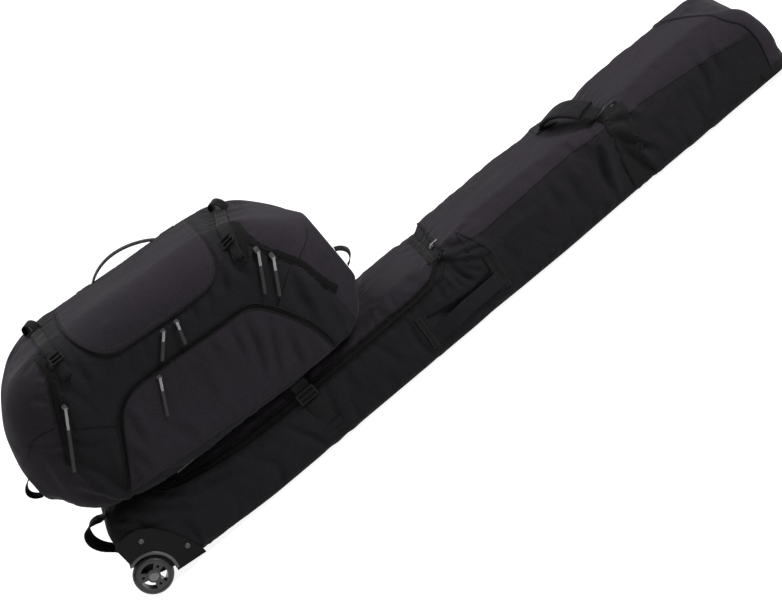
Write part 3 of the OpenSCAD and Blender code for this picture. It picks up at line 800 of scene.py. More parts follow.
ZIP_TOP = 400.0
ZIP_LINE = [(LID_X0, 215), (LID_X0 + 22, 178), (236, 169), (305, 155), (392, ZIP_Z + 3), (527, ZIP_Z),
            (700, ZIP_Z),
            (805, ZIP_Z + 1), (877, ZIP_Z + 4), (908, 151), (928, 166), (940, 186), (LID_X1 - 1, 215)]
LID_OUTLINE = np.vstack([[(LID_X0 - 3, ZIP_TOP)], rounded(ZIP_LINE, 2), [(LID_X1, ZIP_TOP)]])
PLEAT_EDGE = [(965, 224), (1000, 198), (1022, 170), (1036, 140), (1040, 118), (1030, 84)]
CAP_SIDE = 150 + 181      # the way up the cap's near side and on to the middle of its top
CAP_BACK = 86             # where the cap's seam turns down the far side
CAP_LINE = [(1647, CAP_BACK + CAP_SIDE), (1673, 58 + CAP_SIDE), (1703, -11 + CAP_SIDE),
            (1720, -70 + CAP_SIDE),
            (1736, 188), (1757, 146), (1766, 100), (1758, 60), (1747, 18)]

FOLD_GAIN = 2.2
ROLLER_FOLDS = (
    fan((944, 196), [(1036, 150), (1030, 118), (1012, 96), (984, 88), (956, 84), (926, 84), (900, 88)], 7,
        5.0, 0.06)
    + fan((966, 214), [(1050, 225), (1042, 196), (1040, 176)], 8, 4.0, 0.04)
    + [([(862, 96), (905, 84), (948, 80), (990, 80), (1022, 86)], 9, 7.0)]
    + [([(1368, 188), (1350, 120), (1322, 60)], 9, 4.5), ([(1364, 150), (1342, 96), (1330, 44)], 8, 4.0),
       ([(1336, 205), (1342, 160), (1334, 110)], 9, 3.5), ([(1310, 225), (1318, 170)], 9, 2.5),
       ([(1404, 150), (1430, 100), (1452, 62)], 8, 4.0), ([(1400, 118), (1416, 66), (1424, 20)], 8, 4.0),
       ([(1408, 190), (1450, 160), (1476, 132)], 9, 3.0), ([(1412, 210), (1462, 205)], 9, 2.0)]
    + [([(1676, 156), (1668, 110), (1660, 76)], 10, 3.5), ([(1634, 160), (1632, 100), (1604, 44)], 10, 3.5),
       ([(1700, 140), (1690, 92)], 8, 3.0), ([(1590, 120), (1579, 26)], 10, 2.5),
       ([(1720, 120), (1716, 60)], 8, 2.0),
       ([(1540, 90), (1520, 30)], 10, 2.0), ([(1490, 100), (1500, 40)], 10, 2.0)]
    + [([(96, 196), (112, 150), (140, 128)], 9, 4.0), ([(150, 190), (172, 150), (214, 128)], 10, 4.0),
       ([(196, 168), (240, 140), (290, 126)], 10, 3.5), ([(250, 148), (300, 122), (352, 108)], 10, 3.0),
       ([(60, 190), (74, 168)], 7, 3.0)]
    + [([(470, 120), (500, 70), (520, 20)], 10, 2.5), ([(590, 118), (578, 70), (566, 24)], 10, 2.5),
       ([(640, 118), (650, 70)], 12, 2.0), ([(380, 100), (420, 60)], 12, 2.0),
       ([(740, 110), (760, 56)], 12, 2.0),
       ([(812, 112), (806, 60), (812, 30)], 8, 2.5), ([(1076, 120), (1092, 60)], 12, 2.0),
       ([(1150, 110), (1180, 50)], 12, 2.5), ([(1230, 150), (1222, 90)], 11, 2.5),
       ([(1272, 150), (1266, 80)], 11, 2.5)]
)
SLEEVE_SEAM = [(985, 176), (1047, 160), (1266, 165), (1456, 157), (1617, 143), (1700, 132), (1750, 120)]
ROLLER_GATHERS = (puckers(ZIP_LINE[2:-3], 26, 34, 4.5, 1.2, 11, -1)
                  + puckers(ZIP_LINE[2:-3], 30, 30, 5, 1.0, 12, 1)
                  + puckers(SLEEVE_SEAM, 24, 40, 5, 1.1, 13, -1)
                  + puckers(SLEEVE_SEAM, 28, 34, 5.5, 0.9, 14, 1)
                  + puckers(CAP_LINE, 20, 26, 4.5, 1.0, 15, 1))

roller = even_mesh(roller_surface(), 6.5)
pts = points_of(roller.data)
flat = np.column_stack([pts[:, 0], girth(pts)])
near_side = 1 / (1 + np.exp((pts[:, 1] - 40) / 15))
push(roller, (FOLD_GAIN * crease(flat, ROLLER_FOLDS) + crease(flat, ROLLER_GATHERS)) * near_side)
# The far side has its own folds: the later of these, turned end for end
far_flat = np.column_stack([1810 - pts[:, 0] * 0.98, pts[:, 2] + np.maximum(HALF_W - pts[:, 1], 0) * 0.9])
push(roller, (crease(far_flat, ROLLER_FOLDS[10:]) + crease(far_flat, ROLLER_GATHERS)) * (1 - near_side))

pts = points_of(roller.data)
side_xz = pts[:, [0, 2]]
to_zip = np.abs(signed_distance(side_xz, LID_OUTLINE))
on_floor = np.clip((16 - pts[:, 2]) / 8, 0, 1)
wheel_end = np.clip((175 - pts[:, 0]) / 20, 0, 1)
straps = np.exp(-0.5 * ((pts[:, 0] - 1380) / 24) ** 2)
under_duffel = np.clip((pts[:, 2] - (SKI_H - 14)) / 8, 0, 1) * np.clip((770 - pts[:, 0]) / 20, 0, 1)
hold = np.maximum.reduce([np.exp(-0.5 * (to_zip / 6) ** 2), on_floor, wheel_end, 0.8 * straps,
                          under_duffel])
settle(roller, np.clip(hold, 0, 1), 3.0, 0.035, 16, 6.0)

# The floor and the duffel's bottom limit how far the cloth may stand out
pts = points_of(roller.data)
pts[:, 2] = np.maximum(pts[:, 2], 0.6)
under = (pts[:, 0] < 775) & (pts[:, 0] > 200) & (pts[:, 2] > SKI_H - 20)
pts[under, 2] = np.minimum(pts[under, 2], SKI_H - 0.3)
pts[:, 1] = np.clip(pts[:, 1], -HALF_W - 6, HALF_W + 6)
set_points(roller.data, pts)
roller_skin = Skin(roller)


def lid_field(points):
    return signed_distance(points[:, [0, 2]], LID_OUTLINE)


def cap_field(points):
    """Negative beyond the cap's seam."""
    line = rounded(CAP_LINE, 1)
    way = points[:, 2] + np.maximum(points[:, 1] + HALF_W, 0)
    way = np.where(points[:, 1] > CAP_BACK, points[:, 2] + 289, way)
    edge = np.interp(np.clip(way, 18, CAP_BACK + CAP_SIDE), line[::-1, 1], line[::-1, 0])
    return edge - points[:, 0]


lid, shell = cut_apart(roller, lid_field, ("roller_lid_cloth", "roller_body_cloth"))
cap, shell = cut_apart(shell, cap_field, ("tip_cap_cloth", "roller_body_cloth"))


def sleeve_field(points):
    """Negative on the sleeve's upper panel."""
    seam = np.interp(points[:, 0], [985, 1047, 1266, 1456, 1617, 1800], [176, 160, 165, 157, 143, 120])
    return np.maximum(seam - points[:, 2], STEP_X + 2 - points[:, 0])


def paint(obj, field, material):
    """Gives a second fabric to the faces where the field is negative."""
    obj.data.materials.append(MAT[material])
    points = points_of(obj.data)
    centres = np.array([points[list(f)].mean(0) for f in faces_of(obj.data)])
    obj.data.polygons.foreach_set("material_index", (field(centres) < 0).astype(np.int32))


cloth_piece(lid, "lid", "panel_fabric", "roller_lid", WALL)
cloth_piece(shell, "roller", "body_fabric", "roller_shell", WALL)
cloth_piece(cap, "roller", "panel_fabric", "tip_cap", 2.0, 0.2)
paint(shell, sleeve_field, "panel_fabric")

# ---- zip, seams and piping on the ski compartment ------------------------------------------------
zip_xz = resample(rounded(ZIP_LINE, 2), 6)


def zip_path(shift):
    """The zip's line on the near side and over both ends onto the top, moved sideways in the surface."""
    d = tangents(zip_xz)
    line = zip_xz + shift * np.column_stack([-d[:, 1], d[:, 0]])
    side = [roller_skin.side(x, z) for x, z in line if z < 160]
    end_a = [roller_skin.above(LID_X0 + 8 + shift * 0.2, y) for y in np.arange(96, -HALF_W + 20, -8)]
    end_b = [roller_skin.above(LID_X1 - 5 - shift, y) for y in np.arange(-HALF_W + 34, 96, 8)]
    near = [roller_skin.near((x, -HALF_W + max(0, z - 150) * 0.6, z))[0] for x, z in line]
    first = [p for p in near if p[0] < 400]
    last = [p for p in near if p[0] > 800]
    middle = [p for p in side if 400 <= p[0] <= 800]
    return rounded(np.array(end_a + first + middle + last + end_b), 2)


tape_line = {"tray_zip_tape": zip_path(-6.0), "lid_zip_tape": zip_path(6.0)}
for cad, body, shift in (("tray_zip_tape", "roller", -1), ("lid_zip_tape", "lid", 1)):
    tape = ribbon(tape_line[cad], roller_skin, 9.0, 1.0, 0.1)
    sew(cad + "_cloth", tape, "zip_tape", body, cad)
    row = bricks(zip_path(0.0), roller_skin, 3.0, (1.7, 2.6, 1.3), offset=-1.5 * shift, lift=0.3)
    sew(cad + "_teeth", row, "coil", body, slot="zip_tape")
    welt = laid_tube(zip_path(10.5 * shift), roller_skin, 1.7, 0.3)
    sew(cad + "_piping", welt, "piping", body, slot="body_fabric")


def side_path(points, skin=roller_skin, step=6.0):
    return np.array([skin.side(x, z) for x, z in resample(rounded(points, 2), step)])


def cuff_path(x, y0=-HALF_W + 30, y1=HALF_W - 30):
    return np.array([roller_skin.above(x + 3 * math.sin(y / 40), y) for y in np.arange(y0, y1, 6)])


CAP_SEAM_SIDE = [(1747, 10), (1757, 60), (1765, 100), (1757, 146), (1740, 165)]
CAP_SEAM_TOP = [(1733, -125), (1720, -70), (1703, -11), (1673, 58), (1647, 100)]
cap_seam = [roller_skin.side(x, z) for x, z in CAP_SEAM_SIDE]
cap_seam += [roller_skin.near((x, y, 182))[0] for x, y in CAP_SEAM_TOP]
cap_seam = resample(rounded(np.array(cap_seam), 2), 6)
seams = {
    "tip_seam": (cap_seam, 2.2),
    "sleeve_seam": (side_path([(1045, 160), (1266, 165), (1456, 157), (1617, 143), (1700, 132),
                               (1750, 120)]), 0.9),
    "step_cuff": (cuff_path(STEP_X + 1), 2.4),
    "pleat_seam": (side_path(PLEAT_EDGE), 1.5),
}
for name, (path, radius) in seams.items():
    sew(name, laid_tube(path, roller_skin, radius, 0.35), "body_fabric", "roller")
    lines = bricks(path + [4.5, 0, 0], roller_skin, 4.6, (3.0, 0.7, 0.5), lift=0.2)
    sew(name + "_stitches", lines, "thread", "roller", slot="body_fabric")

# ---- ski compartment's handles, straps and trim --------------------------------------------------
carry_near_x, carry_far_x = 1399.0, 1317.0
near_band = [(1362, 8), (1367, 60), (1383, 130), (1395, 175)]
near_line = [roller_skin.side(x + 34, z) for x, z in resample(near_band, 8)]
near_line += [roller_skin.above(carry_near_x + 22, y) for y in np.arange(-118, -92, 8)]
far_line = [roller_skin.above(carry_far_x, y) for y in np.arange(40, 110, 8)]
far_line += [roller_skin.hit((carry_far_x, 420, z), (0, -1, 0))[0] for z in np.arange(165, 8, -8)]
webs = joined(ribbon(rounded(near_line, 2), roller_skin, 58, 2.0, 0.2, across=11),
              ribbon(rounded(far_line, 2), roller_skin, 58, 2.0, 0.2, across=11))
sew("carry_webbing", webs, "webbing", "roller", "carry_straps")

carry_a = np.array([carry_near_x, -108.0])
carry_b = np.array([carry_far_x, 58.0])
carry_along = unit(carry_b - carry_a)
carry_side = np.array([-carry_along[1], carry_along[0], 0])


def carry_line(u0, u1, height, lift=0.0, steps=24):
    """The carry handle's bow over the top, between two shares of its length."""
    us = np.linspace(u0, u1, steps)
    length = np.linalg.norm(carry_b - carry_a)
    plan = carry_a + np.outer(us * length, carry_along)
    return np.column_stack([plan, STEP_H + 4 + lift + height * np.maximum(np.sin(np.pi * us), 0) ** 0.75])


handle = carry_line(-0.02, 1.02, 28)
t = tangents(handle)
sides = np.tile(carry_side, (len(handle), 1))
strap = sweep(handle, sides, np.cross(sides, t) * -1, flat_section(38, 2.4))
sew("carry_webbing_bow", strap, "webbing", "roller", "carry_handle")


def sleeve_section(width, thick):
    """A soft sleeve's cross-section: a flat oval, nearly straight on its long faces."""
    a = np.linspace(0, 2 * math.pi, 28, endpoint=False)
    x = np.sign(np.cos(a)) * np.abs(np.cos(a)) ** 0.45 * width / 2
    y = np.sign(np.sin(a)) * np.abs(np.sin(a)) ** 0.6 * thick / 2
    return np.column_stack([x, y])


grip_line = carry_line(0.13, 0.87, 30, 1.5, 30)
t = tangents(grip_line)
sides = np.tile(carry_side, (len(grip_line), 1))
verts, faces = sweep(grip_line, sides, np.cross(t, sides), sleeve_section(56, 12))
grip = make("carry_grip_sleeve", verts, faces, "body_fabric", 60)
sew_on(grip, "roller", "body_fabric", "carry_grip")

sh_low, sh_high = span("side_handle")
hx = np.linspace(sh_low[0] - 4, sh_high[0] + 4, 40)
rise = np.sin(np.pi * np.clip((hx - hx[0] - 10) / (hx[-1] - hx[0] - 20), 0, 1)) ** 0.8
hz = np.interp(hx, [830, 924, 1030], [52, 62, 60])
bow = np.column_stack([hx, -HALF_W - 2.5 - 12 * rise, hz])
t = tangents(bow)
upward = np.array([0.0, 0.12, 1.0])
sides = unit(upward - t * (t @ upward)[:, None])
grab = sweep(bow, sides, np.cross(sides, t), sleeve_section(34, 6))
grab_piece = make("side_grab_band", *grab, "body_fabric", 60)
sew_on(grab_piece, "roller", "body_fabric", "side_handle")
patch_l = ribbon(side_path([(828, 112), (826, 74), (823, 34)]), roller_skin, 16, 2.2, 0.2, across=7)
PATCH_R = [(1031, 118), (1026, 78), (1016, 36)]
patch_r = ribbon(side_path(PATCH_R), roller_skin, 30, 2.2, 0.2, across=9)
sew("side_handle_ends", joined(patch_l, patch_r), "webbing", "roller", "side_handle_patches",
    slot="body_fabric")
rows = [bricks(side_path(np.array(line) + [shift, 0]), roller_skin, 4.6, (3.0, 0.8, 0.5), lift=2.5)
        for line, shifts in ((PATCH_R, (-11, -6, 6, 11)), ([(828, 110), (826, 74), (823, 36)], (-5, 5)))
        for shift in shifts]
sew("side_handle_stitches", joined(*rows), "thread", "roller", slot="body_fabric")
# A near-black strip along the grab band's upper edge: painted shadow of the gap between the band and the
# bag
handle_gap_shade = ribbon(side_path([(846, 98), (880, 88), (930, 81), (980, 81), (1018, 88)]), roller_skin, 9, 0.4, 0.1,
              across=5)
sew("side_handle_gap_shade", handle_gap_shade, "zip_tape", "roller", slot="lining")

TIP_STRAP = [(-72, 4.4), (-48, 4.8), (-32, 4.4), (-20, 1), (-7, -12), (2, -32), (6, -58), (10.5, -100),
             (10.5, -150)]
half = [(TIP_X + dx, -HALF_W - dy, 24.5) for dx, dy in TIP_STRAP]
tip_band = band(half + [(x, -y, z) for x, y, z in half[-2::-1]], (0, 0, 1), 25, 2.4)
sew("tip_webbing", tip_band, "webbing", "roller", "tip_handle")

TAIL_STRAP = [(32, -3.5), (19, -7), (8, -2), (-6, 0), (-17, -2), (-28, -11), (-33, -27), (-31, -43),
              (-23, -60), (-11, -74),
              (-2.4, -84), (-1.6, -94), (-1.6, -104)]
tail_mid = (span("tail_loop")[0][1] + span("tail_loop")[1][1]) / 2
loop = resample(rounded([(TAIL_X + dx, tail_mid, TAIL_H + dz) for dx, dz in TAIL_STRAP], 2), 4)
along = tangents(loop)
twist = 0.62 * np.sin(np.pi * np.linspace(0, 1, len(loop)) ** 0.8)
sides = unit(np.column_stack([twist, np.ones(len(loop)), 0 * twist]))
sides = unit(sides - along * (sides * along).sum(1)[:, None])
loop_mesh = sweep(loop, sides, np.cross(along, sides), flat_section(36, 2.0))
sew("tail_webbing", loop_mesh, "webbing", "roller", "tail_loop")

# ---- tie straps with ladder locks ----------------------------------------------------------------
tie_x = 546.0


def mirrored(part):
    """A near side's part, mirrored to the far side."""
    verts, faces = part
    return verts * [1, -1, 1], [f[::-1] for f in faces]


def lock_frame(x, y, z, width=46.0, height=28.0):
    """A ladder lock: a rounded plastic frame with three bars."""
    bars = [block((x - width / 2, y - 4.5, z + dz), (x + width / 2, y, z + dz + 4.8), 1.6)
            for dz in (0, height / 2 - 2.4, height - 4.8)]
    posts = [block((mid - 2.4, y - 4.2, z), (mid + 2.4, y - 0.3, z + height), 1.6)
             for mid in (x - (width / 2 - 2.4), x + (width / 2 - 2.4))]
    return joined(*bars, *posts)


low_n = span("tie_lock_near")[0]
low_f = span("tie_lock_far")[0]
lock = lock_frame(tie_x, -HALF_W - 4.2, low_n[2])
sew("near_lock", lock, "buckle_plastic", "duffel", "tie_lock_near", sharp=40)
lock = mirrored(lock_frame(tie_x, -HALF_W - 4.2, low_f[2]))
sew("far_lock", lock, "buckle_plastic", "roller", "tie_lock_far", sharp=40)


def side_band(points_yz, x, width, thick):
    """Webbing hanging down the side in a plane of constant x."""
    path = np.array([(x, y, z) for y, z in points_yz], float)
    return band(path, (1, 0, 0), width, thick, 4.0)


lower = side_band([(-HALF_W - 3.4, 121), (-HALF_W - 3.8, 100), (-HALF_W - 3.0, 60), (-HALF_W - 3.0, 26)],
                  tie_x, 38, 1.8)
lower_far = side_band([(-HALF_W - 3.4, 144), (-HALF_W - 3.6, 100), (-HALF_W - 3.0, 60),
                       (-HALF_W - 3.0, 26)], tie_x, 38, 1.8)
sew("tie_webbing", joined(lower, mirrored(lower_far)), "webbing", "roller", "tie_straps")
keeper = joined(block((tie_x - 24, -HALF_W - 2.2, 18), (tie_x + 24, -HALF_W - 0.3, 62), 0.8),
                block((tie_x - 24, -HALF_W - 6.6, 40), (tie_x + 24, -HALF_W - 4.4, 57), 1.0),
                block((tie_x - 24, -HALF_W - 6, 40), (tie_x - 20.5, -HALF_W - 1, 57), 0.8),
                block((tie_x + 20.5, -HALF_W - 6, 40), (tie_x + 24, -HALF_W - 1, 57), 0.8))
sew("tie_keeper_patches", joined(keeper, mirrored(keeper)), "body_fabric", "roller", "tie_keepers",
    sharp=40)
upper_n = side_band([(-HALF_W - 5, 126), (-HALF_W - 4.2, 134), (-HALF_W - 3.8, 160), (-HALF_W - 4.2, 176)],
                    tie_x, 38, 1.8)
upper_f = side_band([(-HALF_W - 3.8, 147), (-HALF_W - 3.8, 160), (-HALF_W - 3.8, 176)], tie_x, 38, 1.8)
sew("duffel_tie_webbing", joined(upper_n, mirrored(upper_f)), "webbing", "duffel", "duffel_ties")

# ---- boot duffel: the closed surface -------------------------------------------------------------
DUF_PROFILE_TOP = [(DUF_X0, 305), (-21, 372), (-14, 420), (5, 467), (47, 521), (100, 559), (150, 572),
                   (220, 576), (330, 566),
                   (415, 557), (530, 549), (600, 539), (660, 522), (700, 492), (740, 450), (772, 414),
                   (DUF_X1 - 1, 398),
                   (DUF_X1, 380)]
DUF_PROFILE_LOW = [(DUF_X0, 302), (8, 268), (46, 240), (90, 220), (150, 203), (205, 184), (300, 173),
                   (690, 176), (745, 196),
                   (772, 236), (DUF_X1, 252)]
DUF_PLAN_FRONT = [(DUF_X0, -66), (20, -118), (60, -152), (110, -175), (180, -188), (640, -188), (705, -177),
                  (745, -150),
                  (768, -118), (DUF_X1, -78)]
DUF_PLAN_BACK = [(DUF_X0, 56), (50, 120), (130, 152), (680, 152), (745, 122), (DUF_X1, 66)]


def wall_end(x):
    """Height where the duffel's front wall turns in under it, parallel to the sloping top."""
    return 202 - (x - 400) * math.tan(DUF_SLOPE)


def duffel_ring(x, front, back, low, high, count):
    """A stuffed section: round top corners, flat walls and a bottom that draws in under them."""
    end = max(wall_end(x), low + 14)
    corner = [min(r, (back - front) * 0.49, (high - end) * 0.8) for r in (96, 74)]
    outline = np.vstack([
        [((front + back) / 2, low), (front + 56, low), (front + 20, end - 13), (front + 5, end),
         (front, end + 16)],
        corner_arc(front + corner[0], high - corner[0], corner[0], 180, 90),
        corner_arc(back - corner[1], high - corner[1], corner[1], 90, 0),
        [(back, end + 16), (back - 5, end), (back - 20, end - 13), (back - 56, low)]])
    return even_ring(rounded(outline, 1, closed=True), count)


def duffel_surface():
    ends = 14 * (1 - np.cos(np.linspace(0, math.pi / 2, 8)))
    xs = np.r_[DUF_X0 + 1 + ends, np.arange(DUF_X0 + 22, DUF_X1 - 20, 8), DUF_X1 - 1 - ends[::-1]]
    top = blurred(DUF_PROFILE_TOP, xs, 9)
    low = blurred(DUF_PROFILE_LOW, xs, 12)
    front = blurred(DUF_PLAN_FRONT, xs, 12)
    back = blurred(DUF_PLAN_BACK, xs, 14)
    rings = [duffel_ring(x, f, b, a, h, 130) for x, f, b, a, h in zip(xs, front, back, low, top)]
    return loft("duffel", xs, rings)


def saddle_surface(g):
    """The ski compartment's outside, g larger at the sides and 1 above."""
    xs = np.r_[TAIL_X - g, np.arange(TAIL_X - g + 6, 960, 12.0)]
    top = np.interp(xs, [TAIL_X, 34, 65, 110, 205, 960],
                    [150, 192, TAIL_H, TAIL_H - 2, SKI_H + 0.5, SKI_H + 0.5]) + 1.0
    rings = [ring(-HALF_W - g, HALF_W + g, 20, h, (10, 46, 46, 10), 90) for h in top]
    return loft("saddle", xs, rings)


def top_height(x):
    """Height of the duffel's sloping crest."""
    return DUF_TOP - (x - DUF_MID) * math.tan(DUF_SLOPE)


duffel = carve(duffel_surface(), saddle_surface(7.0))
duffel = even_mesh(duffel, 6.0)

pts = points_of(duffel.data)
d_flat = np.column_stack([pts[:, 0], pts[:, 2] - np.maximum(0, pts[:, 1] + DUF_FRONT) * 0.2])
front_share = 1 / (1 + np.exp((pts[:, 1] + 120) / 12))
DUFFEL_FOLDS = (
    [([(128, 236), (112, 300), (88, 360)], 10, 4.0), ([(160, 250), (170, 300), (196, 340)], 9, 3.0),
     ([(120, 420), (150, 380), (200, 352)], 9, 2.5), ([(190, 520), (205, 470), (212, 410)], 10, 3.0),
     ([(240, 520), (232, 470), (240, 430)], 9, 3.0), ([(640, 520), (620, 470), (628, 420)], 9, 3.0),
     ([(656, 560), (640, 520), (600, 500)], 8, 3.0), ([(600, 470), (560, 440), (520, 430)], 9, 2.0),
     ([(700, 380), (680, 330), (672, 270)], 10, 3.5), ([(740, 330), (716, 270), (700, 210)], 10, 3.5),
     ([(60, 400), (40, 360), (28, 300)], 9, 3.0), ([(60, 300), (90, 260), (110, 226)], 9, 3.0),
     ([(764, 380), (752, 320), (736, 262)], 9, 3.0), ([(742, 300), (728, 250), (736, 214)], 8, 2.5)]
    + [([(x0, 462), (x0 - 12, 440), (x0 - 20, 418)], 7, 1.8) for x0 in (330, 372, 500, 540, 585)]
)
END_ZIP_R = [(674, 560), (667, 526), (665, 498), (671, 466), (687, 434), (706, 402), (719, 372), (724, 340),
             (728, 306),
             (738, 278)]
END_ZIP_L = [(172, 590), (178, 564), (176, 536), (163, 512), (143, 474), (117, 424), (94, 385), (78, 359)]
POCKET_TOP = [(150, 262), (189, 330), (226, 378), (261, 410), (305, 424), (403, 414), (534, 400),
              (580, 392), (612, 362),
              (644, 300), (660, 240)]
DUFFEL_GATHERS = (puckers(POCKET_TOP, 22, 34, 4.5, 1.1, 21, 1) + puckers(END_ZIP_R, 18, 40, 5, 1.3, 22, 1)
                  + puckers(END_ZIP_R, 18, 30, 5, 1.1, 23, -1) + puckers(END_ZIP_L, 20, 34, 5, 1.2, 24, 1)
                  + puckers(END_ZIP_L, 20, 34, 5, 1.2, 25, -1))
push(duffel, (FOLD_GAIN * crease(d_flat, DUFFEL_FOLDS) + crease(d_flat, DUFFEL_GATHERS)) * front_share)
back_flat = np.column_stack([770 - pts[:, 0], pts[:, 2]])
push(duffel, crease(back_flat, DUFFEL_FOLDS) * np.clip((pts[:, 1] - 80) / 40, 0, 1))

pts = points_of(duffel.data)
gaps = [np.linalg.norm(roller_skin.near(p)[0] - p) if p[2] < 260 else 99 for p in pts]
sewn = np.exp(-0.5 * (np.array(gaps) / 8) ** 2)
xz = pts[:, [0, 2]]
to_welts = np.minimum(*[segment_distance(xz, np.array(line, float)) for line in (END_ZIP_R, END_ZIP_L)])
sewn = np.maximum(sewn, 0.9 * np.exp(-0.5 * (to_welts / 8) ** 2) * front_share)
flap_zone = (pts[:, 0] > 235) & (pts[:, 0] < 610) & (pts[:, 2] > top_height(pts[:, 0]) - 62)
settle(duffel, np.clip(np.maximum(sewn, 0.8 * flap_zone), 0, 1), 3.5, 0.04, 16, 4.5)
pts = points_of(duffel.data)
pts[:, 1] = np.maximum(pts[:, 1], -DUF_FRONT - 1)
pts[:, 0] = np.clip(pts[:, 0], DUF_X0 - 3, DUF_X1 + 3)
set_points(duffel.data, pts)

duffel_skin = Skin(duffel)


def to_top(points):
    """Points in the frame of the duffel's sloping top."""
    c, s = math.cos(DUF_SLOPE), math.sin(DUF_SLOPE)
    d = points - [DUF_MID, 0, DUF_TOP]
    return np.column_stack([d[:, 0] * c - d[:, 2] * s, d[:, 1], d[:, 0] * s + d[:, 2] * c])


def from_top(points):
    c, s = math.cos(DUF_SLOPE), math.sin(DUF_SLOPE)
    p = np.asarray(points, float)
    level = np.column_stack([p[:, 0] * c + p[:, 2] * s, p[:, 1], -p[:, 0] * s + p[:, 2] * c])
    return level + [DUF_MID, 0, DUF_TOP]


FLAP_X = (-172.0, 180.0)
FLAP_FOLD = 58.0
FLAP_DROP = -58.0
RIDGE_R = 88.0


def wrap(xl, s, lift=0.0):
    """A point over the duffel's top: s runs from the fold over the crest and down the front."""
    flat_run = FLAP_FOLD + DUF_FRONT - RIDGE_R
    if s < flat_run:
        local, up = np.array([xl, FLAP_FOLD - s, 0]), np.array([0, 0, 1.0])
    else:
        a = min((s - flat_run) / RIDGE_R, math.pi / 2)
        down = max(0.0, s - flat_run - RIDGE_R * math.pi / 2)
        y = -DUF_FRONT + RIDGE_R - RIDGE_R * math.sin(a)
        local = np.array([xl, y, -RIDGE_R + RIDGE_R * math.cos(a) - down])
        up = np.array([0, -math.sin(a), math.cos(a)])
    start = from_top([local + up * 60])[0]
    inward = (from_top([local])[0] - start) / 60
    place, normal = duffel_skin.hit(start, inward)
    return place - inward * lift


MOUTH_OUTLINE = np.array([(FLAP_X[0] + 22, 120), (FLAP_X[0] + 22, -4), (FLAP_X[0] + 40, -26),
                          (FLAP_X[0] + 74, -38),
                          (FLAP_X[1] - 56, -38), (FLAP_X[1] - 32, -26), (FLAP_X[1] - 22, -6),
                          (FLAP_X[1] - 22, 120)], float)


def mouth_field(points):
    """Negative inside the mouth under the flap: its outline in the top's frame, in front of the fold."""
    local = to_top(points)
    return np.maximum(signed_distance(local[:, [0, 2]], MOUTH_OUTLINE), local[:, 1] - FLAP_FOLD + 12)


plug, duffel_cloth = cut_apart(duffel, mouth_field, ("mouth", "duffel_cloth"))
bpy.data.objects.remove(plug)


def end_panel_field(points):
    """Negative on the two ends, outside the end zips."""
    right = np.interp(points[:, 2], [300, 334, 378, 428, 470, 504, 566],
                      [730, 722, 706, 684, 664, 658, 672])
    left = np.interp(points[:, 2], [340, 370, 422, 470, 520, 562, 590], [82, 88, 118, 150, 176, 187, 190])
    return np.minimum(right - points[:, 0], points[:, 0] - left)


cloth_piece(duffel_cloth, "duffel", "body_fabric", "duffel_shell", WALL, sharp=55)
paint(duffel_cloth, end_panel_field, "panel_fabric")

# ---- duffel's flap -------------------------------------------------------------------------------
FLAT_RUN = FLAP_FOLD + DUF_FRONT - RIDGE_R
FLAP_RUN = FLAT_RUN + RIDGE_R * math.acos(max(-1, 1 + FLAP_DROP / RIDGE_R))
FLAP_OUTLINE = rounded([(FLAP_X[0], 0), (FLAP_X[0] + 2, FLAP_RUN - 96), (FLAP_X[0] + 22, FLAP_RUN - 42),
                        (FLAP_X[0] + 62, FLAP_RUN - 2),
                        (FLAP_X[0] + 130, FLAP_RUN), (FLAP_X[1] - 60, FLAP_RUN),
                        (FLAP_X[1] - 16, FLAP_RUN - 14),
                        (FLAP_X[1], FLAP_RUN - 60), (FLAP_X[1] - 2, FLAP_RUN - 120), (FLAP_X[1] - 14, 0)],
                       3, closed=False)


def flap_lift(xl, s):
    """The flap floats off the top a little, most along its lower edge's middle."""
    share = (xl - FLAP_X[0]) / (FLAP_X[1] - FLAP_X[0])
    return 3.6 + 1.6 * math.sin(math.pi * share) * min(1.0, s / FLAP_RUN) + 0.8 * math.sin(xl / 31 + s / 47)


def flap_surface():
    cols = np.arange(FLAP_X[0] - 4, FLAP_X[1] + 5, 6.0)
    rows = np.arange(0, FLAP_RUN + 8, 6.0)
    flat_points = np.array([(xl, s) for s in rows for xl in cols])
    solid = np.array([wrap(xl, s, flap_lift(xl, s)) for xl, s in flat_points])
    return make("flap_blank", solid, grid_faces(len(rows), len(cols)), "panel_fabric"), flat_points, solid


flap, flap_flat, flap_solid = flap_surface()
flap_points = KDTree(len(flap_solid))
for i, place in enumerate(flap_solid):
    flap_points.insert(place, i)
flap_points.balance()


def flap_field(points):
    """Signed distance of points on the flap from its outline, worked out in the flap's flat shape."""
    flat_of = np.empty((len(points), 2))
    for i, p in enumerate(points):
        found = flap_points.find_n(p, 4)
        w = np.array([1 / (d + 1e-6) ** 2 for _, _, d in found])
        flat_of[i] = (w[:, None] * flap_flat[[k for _, k, _ in found]]).sum(0) / w.sum()
    return signed_distance(flat_of, FLAP_OUTLINE)


flap, waste = cut_apart(flap, flap_field, ("flap_cloth", "waste"))
bpy.data.objects.remove(waste)
cloth_piece(flap, "flap", "panel_fabric", "duffel_flap", 3.2, 0.0)
breadth, run = FLAP_OUTLINE.T
edge = np.array([wrap(xl, s, flap_lift(xl, s)) for xl, s in resample(FLAP_OUTLINE, 5)])
sew("flap_binding", tube(edge, 2.8), "piping", "flap", slot="panel_fabric")
flap_centre = np.array([(FLAP_X[0] + FLAP_X[1]) / 2, FLAP_RUN / 2])
inset = flap_centre + (FLAP_OUTLINE - flap_centre) * [0.955, 0.94]
hem = np.array([wrap(xl, s, flap_lift(xl, s) + 1.5) for xl, s in resample(inset, 6)])
flap_skin = Skin(flap)
stitches = bricks(hem, flap_skin, 5.0, (3.2, 0.8, 0.5), lift=0.1)
sew("flap_stitches", stitches, "thread", "flap", slot="panel_fabric")

